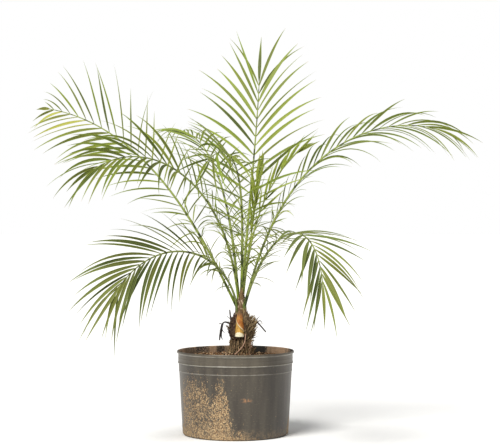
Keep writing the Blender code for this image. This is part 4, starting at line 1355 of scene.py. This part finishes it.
def make_stem(settings, sweep):
    """The fibrous column between the leaf stalks, wrapped in upright strands."""
    low = CROWN_TOP
    profile = [
        (0.0, STEM_TOP + 0.004), (0.0035, STEM_TOP + 0.002), (0.0072, STEM_TOP - 0.010),
        (0.0100, STEM_TOP - 0.025), (0.0118, SHEATH_TOP + 0.012), (0.0132, SHEATH_TOP - 0.010),
        (0.0140, low), (0.0, low),
    ]  # fmt: skip
    core = roughen(turned("stem_core", rounded(profile, 0.006, 5), 60, STEM_X), 0.0016, 160.0, 9.0)
    heights = (SHEATH_TOP, SHEATH_TOP + 0.012, STEM_TOP - 0.025, STEM_TOP - 0.01, STEM_TOP)
    rng = np.random.default_rng(SEED + 2)
    rails = Rails()
    for strand in range(STEM_STRANDS):
        angle = 2 * math.pi * (strand + rng.uniform()) / STEM_STRANDS
        start = rng.uniform(SHEATH_TOP - 0.012, STEM_TOP - 0.030)
        end = min(start + rng.uniform(0.014, 0.034), STEM_TOP)
        turn = rng.normal() * 0.25
        points = []
        for place in np.linspace(0.0, 1.0, 6):
            height = start + (end - start) * place
            reach = np.interp(height, heights, STRAND_REACH)
            spread = reach + 0.0006 + 0.0012 * place**3 * rng.uniform(0.0, 2.0)
            points.append(round_stem(angle + turn * place, spread - STEM_RADIUS, height))
        outward = np.array((math.cos(angle), math.sin(angle), 0.0))
        half = rng.uniform(0.0006, 0.0017) * np.array((0.6, 1.0, 1.0, 0.9, 0.6, 0.25))
        add_strand(rails, points, half, outward, rng.uniform(), 0.45)
    loose = as_object("stem_strands", rails.to_mesh("stem_strands"))
    material = stem_finish(settings)
    grow(loose, sweep, {"Stalk Sides": 5, "Material": material})
    stem = joined("stem_column", [core, loose])
    finish_piece(smooth(stem, 60.0), "stem_bark", "stem", material=material)


def leaf_base_finish(settings):
    """Rust-orange skin that turns gold at its edge and cream where it was cut, with a painted shadow under
    the flap.
    """
    finish = Finish("cut_base", 0.55, 0.4)
    flap, down, across = finish.attribute("flap"), finish.attribute("place"), finish.attribute("across")
    fibres = finish.noise(420.0, 3.0, 0.6, (1.0, 1.0, 0.10))
    blush = finish.noise(70.0, 3.0, 0.6)
    gold = finish.mix(finish.span(fibres, 0.35, 0.65), settings.cut_gold, scaled(settings.cut_gold, 0.62))
    rust = finish.mix(finish.span(fibres, 0.35, 0.65), settings.cut_orange, scaled(settings.cut_orange, 0.55))
    rust = finish.mix(finish.span(blush, 0.45, 0.65, 0.0, 0.5), rust, settings.cut_gold)
    skin = finish.mix(flap, gold, rust)
    bark = finish.mix(finish.span(fibres, 0.40, 0.60), settings.base_bark_dark, settings.base_bark)
    upper = finish.plus(down, finish.times(finish.noise(160.0, 3.0), 0.22))
    skin = finish.mix(finish.span(upper, 0.42, 0.20), skin, bark)
    rim = finish.span(finish.maths("ABSOLUTE", across), 0.84, 1.0, 0.0, 0.5)
    skin = finish.mix(rim, skin, settings.base_edge)
    # Painted shadow: a dark line under the flap's edge.
    flap_shadow_mask = finish.times(finish.span(flap, 0.5, 0.1), finish.span(flap, 0.0, 0.1))
    skin = finish.mix(finish.times(flap_shadow_mask, 0.8), skin, settings.flap_shadow)
    skin = finish.mix(finish.attribute("lip"), skin, settings.flap_lip)
    dome = finish.times(finish.times(across, across), -0.13)
    ragged = finish.times(finish.noise(240.0, 2.0), 0.08)
    bite = finish.plus(down, finish.plus(dome, ragged))
    pale = finish.times(finish.span(bite, 0.825, 0.850), finish.span(flap, 0.6, 0.4))
    finish.colour(finish.mix(pale, skin, settings.scar))
    finish.bump(fibres, 0.35, 0.0006)
    return finish.material


def make_leaf_base(settings):
    """A broad shield of leaf base round the stem's front, cut off flat, with an older flap across it."""
    path = smooth_path([(0.0022, 0.008), *LEAF_BASE.path], SHIELD_ROWS)
    halves = evenly(LEAF_BASE.half, SHIELD_ROWS)
    across = np.linspace(-1.0, 1.0, SHIELD_COLUMNS)
    centre = math.radians(LEAF_BASE.azimuth)
    build = bmesh.new()
    layers = {name: build.verts.layers.float.new(name) for name in ("flap", "place", "across", "lip")}
    front, back = [], []
    for ring, ((out, up), half) in enumerate(zip(path, halves)):
        down = ring / SHIELD_ROWS
        rows = ([], [])
        for u in across:
            edge = u - (-0.60 + 1.25 * (down - 0.43) / 0.28)
            flap = min(1.0, max(0.0, edge / 0.14 + 0.5))
            lip = math.exp(-(((edge - 0.10) / 0.13) ** 2))
            reach = STEM_RADIUS + out
            angle = centre + u * half / reach
            bulge = 0.0052 * (1 - u * u) + 0.0016 * flap + 0.0006 * lip
            for side, lift in ((0, bulge), (1, -0.0035)):
                radius = reach + lift - 0.0030 * u * u
                place = (STEM_X + radius * math.cos(angle), radius * math.sin(angle), SHEATH_TOP + up)
                vert = build.verts.new(place)
                for name, value in (("flap", flap), ("place", down), ("across", u), ("lip", lip)):
                    vert[layers[name]] = value
                rows[side].append(vert)
        front.append(rows[0])
        back.append(rows[1])
    for rows, turn in ((front, 1), (back, -1)):
        for upper, lower in zip(rows, rows[1:]):
            for i in range(len(across) - 1):
                build.faces.new((upper[i], lower[i], lower[i + 1], upper[i + 1])[::turn])
    for ring in (0, -1):
        for i in range(len(across) - 1):
            build.faces.new((front[ring][i], front[ring][i + 1], back[ring][i + 1], back[ring][i]))
    for i in (0, -1):
        for ring in range(len(front) - 1):
            build.faces.new((front[ring][i], back[ring][i], back[ring + 1][i], front[ring + 1][i]))
    bmesh.ops.recalc_face_normals(build, faces=build.faces)
    mesh = bpy.data.meshes.new("cut_leaf_base_shield")
    build.to_mesh(mesh)
    build.free()
    shield = smooth(as_object("cut_leaf_base_shield", mesh), 50.0)
    finish_piece(shield, "cut_base", "cut_leaf_base", material=leaf_base_finish(settings))


def dead_finish(settings):
    """Grey-brown, dry and grained, with some strips paler."""
    finish = Finish("dead_stalk", 0.75, 0.35)
    grain = finish.noise(500.0, 4.0, 0.7)
    tint = finish.attribute("tint")
    base = finish.mix(finish.span(grain, 0.35, 0.7), scaled(settings.dead, 0.5), scaled(settings.dead, 1.9))
    finish.colour(finish.mix(finish.span(tint, 0.6, 1.0, 0.0, 0.4), base, settings.dead_pale))
    finish.bump(grain, 0.6, 0.0007)
    return finish.material


def make_dead_stalks(settings, sweep):
    """Dead stalks and their twigs, each a bent flat strip with a ragged taper."""
    material = dead_finish(settings)
    rng = np.random.default_rng(SEED + 3)
    for stub in STUBS:
        rails = Rails()
        angle = math.radians(stub.azimuth)
        side = np.array((-math.sin(angle), math.cos(angle), 0.0))
        strands = [(stub.path, 0.62 * np.maximum(stub.half, 0.0026), 0.0)]
        strands += [(path, half * np.array((1.0, 1.0, 0.8, 0.4)), 0.003) for path, half in TWIGS[stub.name]]
        for path, halves, off in strands:
            points = [round_stem(angle, out, SHEATH_TOP + up) for out, up in path]
            points = [point + side * rng.normal() * off for point in points]
            points[0] = points[0] - unit(points[1] - points[0]) * 0.004
            steps = 4 * (len(points) - 1)
            half = evenly(halves, steps) * (1 + 0.10 * rng.normal(size=steps + 1))
            facing = np.array((0.0, -1.0, 0.2))
            add_strand(rails, smooth_path(points, steps), half, facing, rng.uniform(), 0.6)
        obj = as_object(stub.name + "_strips", rails.to_mesh(stub.name))
        grow(obj, sweep, {"Stalk Sides": 8, "Material": material})
        finish_piece(smooth(obj, 60.0), "dead_stalk", stub.name, material=material)


# Fronds


def blade_frame(line, broad):
    """The width's direction at each point of a leaflet, turned no more than its bend asks."""
    ahead = unit(np.gradient(line, axis=0))
    made = []
    for direction in ahead:
        broad = unit(broad - direction * np.dot(broad, direction))
        made.append(broad)
    return np.array(made), ahead


def add_blade(rails, leaflet, stalk, gold, habit, greens, rng, settings):
    """The rail of one leaflet: its line bends sideways a little and its blade rolls over."""
    steps = settings.blade_steps
    loose, slim, lean = habit
    along = at(stalk.along, leaflet.share)
    heading = unit(leaflet.heading + lean * (1.0 - leaflet.spot) ** 2 * along)
    line = leaflet_line(leaflet.root, heading, leaflet.length, leaflet.droop, steps)
    place = np.linspace(0.0, 1.0, steps + 1)
    broad = -at(stalk.side, 1.0) if leaflet.row == 0 else along * leaflet.row
    broads, ahead = blade_frame(line, broad)
    sway = rng.normal() * settings.sway * loose * broads + rng.uniform(0.0, 0.10) * np.array((0.0, 0.0, -1.0))
    sway = sway - settings.curl * rng.uniform(0.2, 1.8) * along
    line = line + sway * leaflet.length * (place**2.0)[:, None]
    roll = np.radians(rng.normal() * 16.0 + rng.normal() * 30.0 * place)[:, None]
    broads, ahead = blade_frame(line, broads[0])
    broads = broads * np.cos(roll) + np.cross(ahead, broads) * np.sin(roll)
    width = settings.leaflet_width * (1.0 + 0.10 * rng.normal()) * slim
    width *= 1.0 if leaflet.row == 0 else np.interp(leaflet.spot, THIN_AT, THIN_SHARE)
    half = width / 2 * np.interp(place, BLADE_AT, BLADE_SHARE)
    rails.add(line, kind=BLADE_KIND, half=half, broad=broads, up=np.cross(ahead, broads), depth=1.0,
              place=place, tint=rng.uniform(*greens), gold=gold)  # fmt: skip


def petiole(frond, stalk):
    """The stalk's line carried on down the stem, where it widens and flattens to clasp it."""
    angle = math.radians(frond.seat_azimuth)
    outward = np.array((math.cos(angle), math.sin(angle), 0.0))
    reach = frond.out * STALK_HALF
    down = CLASP_DOWN + CLASP_SLOPE * (CLASP_SEAT - frond.seat)
    place = np.linspace(1.0, 0.0, CLASP_STEPS, endpoint=False)
    points = [
        stalk.points[0] + outward * (CLASP_GRIP - reach) * float(e) - np.array((0.0, 0.0, down * float(p)))
        for e, p in zip(place**1.5, place)
    ]
    return np.array(points), outward, place


def add_stalk(rails, frond, stalk, settings):
    """A stalk from its clasp on the stem to its tip."""
    below, outward, place = petiole(frond, stalk)
    shares = np.linspace(0.0, 1.0, STALK_RINGS)
    line = np.concatenate([below, [at(stalk.points, s) for s in shares]])
    side = np.array([at(stalk.side, s) for s in shares])
    clasp = np.cross(outward, (0.0, 0.0, 1.0))
    clasp = clasp if np.dot(clasp, side[0]) > 0 else -clasp
    mixed = [unit(clasp * p + side[0] * (1 - p)) for p in place]
    broad = -np.concatenate([mixed, side])
    ahead = unit(np.gradient(line, axis=0))
    broad = unit(broad - ahead * (broad * ahead).sum(1)[:, None])
    young = frond.name in YOUNG
    base = settings.petiole_half * (0.55 if young else 1.0)
    far = np.concatenate([-place * 0.06, shares])
    widen = np.interp(far, (-0.06, 0.0, 0.05, 0.12), (1.0, 0.80, 0.28, 0.0))
    half = stalk_half(np.clip(far, 0.09, 1.0)) * (0.80 if young else 1.0)
    half = half + widen * (base - half)
    depth = np.interp(far, (-0.06, 0.0, 0.08, 0.3), (0.36, 0.50, 0.80, 0.88))
    tone = np.clip((far - SHEATHED.get(frond.name, 0.0)) / 0.10, -1.0, 1.0)
    rails.add(line, kind=STALK_KIND, half=half, broad=broad, up=np.cross(ahead, broad), depth=depth,
              place=tone, tint=0.5, gold=0.0)  # fmt: skip


def add_spines(rails, frond, stalk, rng, settings):
    """Short spines on the bare stalk, which grow into the first leaflets."""
    for row in (-1, 1):
        for spot in np.arange(SPINE_FROM, frond.bare - 0.015, SPINE_GAP):
            place = spot + rng.normal() * 0.006
            side, ahead, face = at(stalk.side, place), at(stalk.along, place), at(stalk.face, place)
            heading = unit(row * side * 0.8 + ahead * (0.9 + 0.3 * rng.normal()) + face * 0.35)
            root = at(stalk.points, place) + row * side * stalk_half(place) * 0.8
            length = settings.spine * (0.6 + 1.3 * (place / frond.bare) ** 2) * (1 + 0.2 * rng.normal())
            line = np.array([root + heading * length * step / 3 for step in range(4)])
            broad = unit(np.cross(heading, face))
            rails.add(line, kind=STALK_KIND, half=np.array(SPINE_HALF) * 0.001, broad=broad,
                      up=np.cross(heading, broad), depth=1.0, place=1.0, tint=0.2, gold=0.0)  # fmt: skip


def add_wisps(rails, frond, stalk, rng, settings):
    """Thin soft leaflets between the spines and the full ones."""
    for row in (-1, 1):
        for spot in np.arange(WISP_FROM, frond.bare + 0.10, settings.wisp_gap):
            place = spot + rng.normal() * 0.008
            side, ahead, face = at(stalk.side, place), at(stalk.along, place), at(stalk.face, place)
            heading = row * side + ahead * rng.uniform(0.4, 2.2)
            heading = unit(heading + face * rng.normal() * 0.4)
            root = at(stalk.points, place) + row * side * stalk_half(place) * 0.8
            length = settings.wisp * rng.uniform(0.35, 1.0) * (0.35 + 0.65 * min(1.0, place / frond.bare))
            leaf = Leaflet(place, row, root, heading, length, rng.uniform(0.2, 1.3), 0.0)
            add_blade(rails, leaf, stalk, rng.uniform(0.0, 0.4), WISP_HABIT, WISP_GREENS, rng, settings)


def sweep_tree():
    """Sweeps each rail: stalks, roots and spines get a round section, leaflets a folded one."""
    graph, given = new_tree("sweep_rails", {
        "Fold": "Float", "Thickness": "Float", "Stalk Sides": "Int", "Material": "Material",
    })  # fmt: skip

    def circle(sides):
        inputs = {"Resolution": sides, "Radius": 1.0}
        return graph.add("GeometryNodeCurvePrimitiveCircle", inputs).outputs[0]

    def swept(rails, section):
        line = graph.add("GeometryNodeMeshToCurve", {"Mesh": rails}).outputs[0]
        turned_line = graph.add("GeometryNodeSetCurveNormal", {0: line})
        turned_line.mode = "FREE"
        graph.put(turned_line, "Normal", graph.named("broad", "FLOAT_VECTOR"))
        return graph.add("GeometryNodeCurveToMesh", {
            "Curve": turned_line.outputs[0], "Profile Curve": section, "Scale": graph.named("half"),
            "Fill Caps": True,
        }).outputs[0]  # fmt: skip

    is_blade = graph.maths("GREATER_THAN", graph.named("kind"), 0.5)
    inputs = {"Geometry": given["Geometry"], "Selection": is_blade}
    leaflet_rails, stalk_rails = graph.add("GeometryNodeSeparateGeometry", inputs).outputs

    corner = math.radians(30)
    inputs = {"Geometry": circle(6), "Rotation": (0.0, 0.0, corner)}
    ring = graph.add("GeometryNodeTransform", inputs).outputs[0]
    x, y, _ = graph.xyz(graph.position())
    wide = graph.maths("DIVIDE", x, math.cos(corner))
    raised = graph.times(graph.maths("ABSOLUTE", wide), given["Fold"])
    thick = graph.times(y, given["Thickness"])
    ring = graph.store(ring, "across", wide)
    ring = graph.store(ring, "under", graph.maths("LESS_THAN", y, 0.0))
    inputs = {"Geometry": ring, "Position": graph.combine(wide, graph.plus(raised, thick))}
    blades = swept(leaflet_rails, graph.add("GeometryNodeSetPosition", inputs).outputs[0])

    centred = graph.store(stalk_rails, "middle", graph.position(), data_type="FLOAT_VECTOR")
    stalks = swept(centred, circle(given["Stalk Sides"]))
    up = graph.named("up", "FLOAT_VECTOR")
    off = graph.vector_maths("SUBTRACT", graph.position(), graph.named("middle", "FLOAT_VECTOR"))
    lift = graph.vector_maths("DOT_PRODUCT", off, up)
    flatten = graph.times(lift, graph.minus(graph.named("depth"), 1.0))
    stalks = graph.moved(stalks, graph.vector_maths("SCALE", up, scale=flatten))
    return end_tree(graph, graph.join(blades, stalks), given["Material"])


def leaf_finish(name, full, light, settings):
    """Waxy leaf: pale midrib, bright edges that are partly a painted highlight, fine veins, dry tips, and a
    paler side below.
    """
    finish = Finish(name, 0.50, 0.22)
    along, across = finish.attribute("place"), finish.attribute("across")
    tint, under, blade = finish.attribute("tint"), finish.attribute("under"), finish.attribute("kind")
    from_rib = finish.maths("ABSOLUTE", across)
    clouds = finish.noise(22.0, 3.0, 0.6)
    green = finish.plus(finish.times(tint, 0.75), finish.times(clouds, 0.4))
    body = finish.mix(finish.span(green, 0.32, 0.88), full, light)
    body = finish.mix(finish.span(along, 0.45, 1.0, 0.0, 0.5), body, scaled(light, 1.3))
    # The leaflets' edges are drawn bright: partly their yellow-green tone, partly a painted highlight along
    # the fold's raised edges.
    margin_and_highlight = [min(1.0, value) for value in scaled(light, 1.9)]
    body = finish.mix(finish.span(from_rib, 0.70, 1.0, 0.0, 0.8), body, margin_and_highlight)
    body = finish.mix(finish.span(from_rib, 0.16, 0.05, 0.0, 0.35), body, settings.rib)
    below = [value + 0.03 for value in scaled(light, 0.9)]
    body = finish.mix(finish.times(under, 0.25), body, below)
    body = finish.mix(finish.attribute("gold"), body, settings.gold)
    dryness = finish.plus(along, finish.times(finish.noise(70.0, 2.0), 0.10))
    blade_colour = finish.mix(finish.span(dryness, 1.005, 1.04, 0.0, 0.85), body, settings.dry)

    blotches = finish.span(finish.noise(90.0, 3.0, 0.6, (1.0, 1.0, 0.3)), 0.50, 0.58, 0.0, 0.85)
    stalk = finish.mix(finish.span(along, 0.3, 1.0, 0.0, 0.6), scaled(light, 1.25), settings.rib)
    stalk = finish.mix(blotches, stalk, scaled(full, 0.6))
    fibres = finish.span(finish.noise(300.0, 3.0, 0.6, (1.0, 1.0, 0.12)), 0.4, 0.6)
    sheath = finish.mix(fibres, settings.sheath_dark, settings.sheath)
    stalk = finish.mix(finish.span(along, -0.05, -0.25), stalk, sheath)
    spine = finish.mix(finish.span(tint, 0.25, 0.15), stalk, settings.rib)
    finish.colour(finish.mix(blade, spine, blade_colour))
    veins = finish.maths("SINE", finish.times(across, 34.0))
    finish.bump(finish.plus(finish.times(veins, 0.22), finish.noise(480.0, 2.0)), 0.25, 0.0006)
    finish.rough(finish.span(clouds, 0.3, 0.7, 0.42, 0.58))
    return finish.material


def make_fronds(settings, leaf):
    """Each leaf from its stalk, spines and leaflets, all swept by one tree."""
    stalks, leaflets = grow_plant()
    finishes = {
        "leaf_green": leaf_finish("leaf_green", leaf.green, leaf.green_light, leaf),
        "leaf_dark": leaf_finish("leaf_dark", leaf.old, leaf.old_light, leaf),
        "leaf_young": leaf_finish("leaf_young", leaf.young, leaf.young_light, leaf),
    }
    tree = sweep_tree()
    rng = np.random.default_rng(SEED)
    for frond, stalk, own in zip(FRONDS, stalks, leaflets):
        rails = Rails()
        add_stalk(rails, frond, stalk, settings)
        add_spines(rails, frond, stalk, rng, settings)
        if frond.name not in YOUNG:
            add_wisps(rails, frond, stalk, rng, settings)
        for leaflet in own:
            gold = rng.uniform(0.0, 0.25)
            if frond.name == "frond_far_left" and leaflet.spot > 0.70 and leaflet.row != 1:
                gold = rng.uniform(0.2, 0.9)
            loose, slim, lean = LOOSE.get(frond.name, (1.0, 1.0, 0.0))
            if frond.name == "frond_far_left" and leaflet.row == 1 and leaflet.spot > LONG_AT[0]:
                slim *= 0.6
                longer = np.interp(leaflet.spot, LONG_AT, LONG_SHARE)
                leaflet = leaflet._replace(length=leaflet.length * longer)
            greens = GREENS.get(frond.name, (0.0, 1.0))
            add_blade(rails, leaflet, stalk, gold, (loose, slim, lean), greens, rng, settings)
        slot = "leaf_young" if frond.name in YOUNG else "leaf_dark" if frond.name in LOWEST else "leaf_green"
        obj = as_object(frond.name + "_leaflets", rails.to_mesh(frond.name))
        values = {
            "Fold": settings.fold, "Thickness": settings.thickness, "Stalk Sides": settings.stalk_sides,
            "Material": finishes[slot],
        }  # fmt: skip
        grow(obj, tree, values)
        obj.data.set_sharp_from_angle(angle=math.radians(50.0))
        finish_piece(obj, slot, frond.name)


# Operators


class PALM_OT_stage(bpy.types.Operator):
    """Lays the floor, sets the lights and stands the camera"""

    bl_idname = "palm.stage"
    bl_label = "Stage"

    def execute(self, context):
        settings = context.scene.palm_stage
        make_floor(settings)
        make_lights(settings)
        make_camera(settings)
        return {"FINISHED"}


class PALM_OT_pot(bpy.types.Operator):
    """Makes the nursery container"""

    bl_idname = "palm.pot"
    bl_label = "Container"

    def execute(self, context):
        make_pot(context.scene.palm_pot)
        return {"FINISHED"}


class PALM_OT_soil(bpy.types.Operator):
    """Makes the soil and its crumbs"""

    bl_idname = "palm.soil"
    bl_label = "Soil"

    def execute(self, context):
        make_soil(context.scene.palm_soil)
        return {"FINISHED"}


class PALM_OT_roots(bpy.types.Operator):
    """Makes the root crown and its skirt of roots"""

    bl_idname = "palm.roots"
    bl_label = "Root Crown"

    def execute(self, context):
        make_root_crown(context.scene.palm_roots, sweep_tree(), tuft_tree())
        return {"FINISHED"}


class PALM_OT_fibre(bpy.types.Operator):
    """Makes the brown fibre round the stem, with its tufts"""

    bl_idname = "palm.fibre"
    bl_label = "Fibre"

    def execute(self, context):
        make_fibre(context.scene.palm_roots)
        return {"FINISHED"}


class PALM_OT_stem(bpy.types.Operator):
    """Makes the stem's column and its strands"""

    bl_idname = "palm.stem"
    bl_label = "Stem"

    def execute(self, context):
        make_stem(context.scene.palm_stem, sweep_tree())
        return {"FINISHED"}


class PALM_OT_leaf_base(bpy.types.Operator):
    """Makes the cut leaf base at the stem's front"""

    bl_idname = "palm.leaf_base"
    bl_label = "Cut Leaf Base"

    def execute(self, context):
        make_leaf_base(context.scene.palm_stem)
        return {"FINISHED"}


class PALM_OT_dead_stalks(bpy.types.Operator):
    """Makes the dead stalks and their twigs"""

    bl_idname = "palm.dead_stalks"
    bl_label = "Dead Stalks"

    def execute(self, context):
        make_dead_stalks(context.scene.palm_stem, sweep_tree())
        return {"FINISHED"}


class PALM_OT_fronds(bpy.types.Operator):
    """Grows the fronds, leaflet by leaflet"""

    bl_idname = "palm.fronds"
    bl_label = "Fronds"

    def execute(self, context):
        make_fronds(context.scene.palm_fronds, context.scene.palm_leaf)
        return {"FINISHED"}


OPERATORS = (
    PALM_OT_stage, PALM_OT_pot, PALM_OT_soil, PALM_OT_roots, PALM_OT_fibre, PALM_OT_stem, PALM_OT_leaf_base,
    PALM_OT_dead_stalks, PALM_OT_fronds,
)  # fmt: skip
SETTINGS = {
    "palm_stage": PalmStageSettings,
    "palm_pot": PalmPotSettings,
    "palm_soil": PalmSoilSettings,
    "palm_roots": PalmRootSettings,
    "palm_stem": PalmStemSettings,
    "palm_fronds": PalmFrondSettings,
    "palm_leaf": PalmLeafSettings,
}


class PALM_PT_panel(bpy.types.Panel):
    """Lists the makers of the palm's pieces, with their settings"""

    bl_idname = "PALM_PT_panel"
    bl_label = "Date Palm"
    bl_space_type = "VIEW_3D"
    bl_region_type = "UI"
    bl_category = "Palm"

    def draw(self, context):
        for operator in OPERATORS:
            self.layout.operator(operator.bl_idname)
        for name, group in SETTINGS.items():
            box = self.layout.box()
            box.label(text=group.__doc__)
            for key in group.__annotations__:
                box.prop(getattr(context.scene, name), key)


def register():
    for group in SETTINGS.values():
        bpy.utils.register_class(group)
    for name, group in SETTINGS.items():
        setattr(bpy.types.Scene, name, PointerProperty(type=group))
    for operator in OPERATORS:
        bpy.utils.register_class(operator)
    bpy.utils.register_class(PALM_PT_panel)


def unregister():
    bpy.utils.unregister_class(PALM_PT_panel)
    for operator in reversed(OPERATORS):
        bpy.utils.unregister_class(operator)
    for name, group in SETTINGS.items():
        delattr(bpy.types.Scene, name)
        bpy.utils.unregister_class(group)


def main():
    register()
    bpy.ops.palm.stage()
    bpy.ops.palm.pot()
    bpy.ops.palm.soil()
    bpy.ops.palm.roots()
    bpy.ops.palm.fibre()
    bpy.ops.palm.stem()
    bpy.ops.palm.leaf_base()
    bpy.ops.palm.dead_stalks()
    bpy.ops.palm.fronds()


if __name__ == "__main__":
    main()
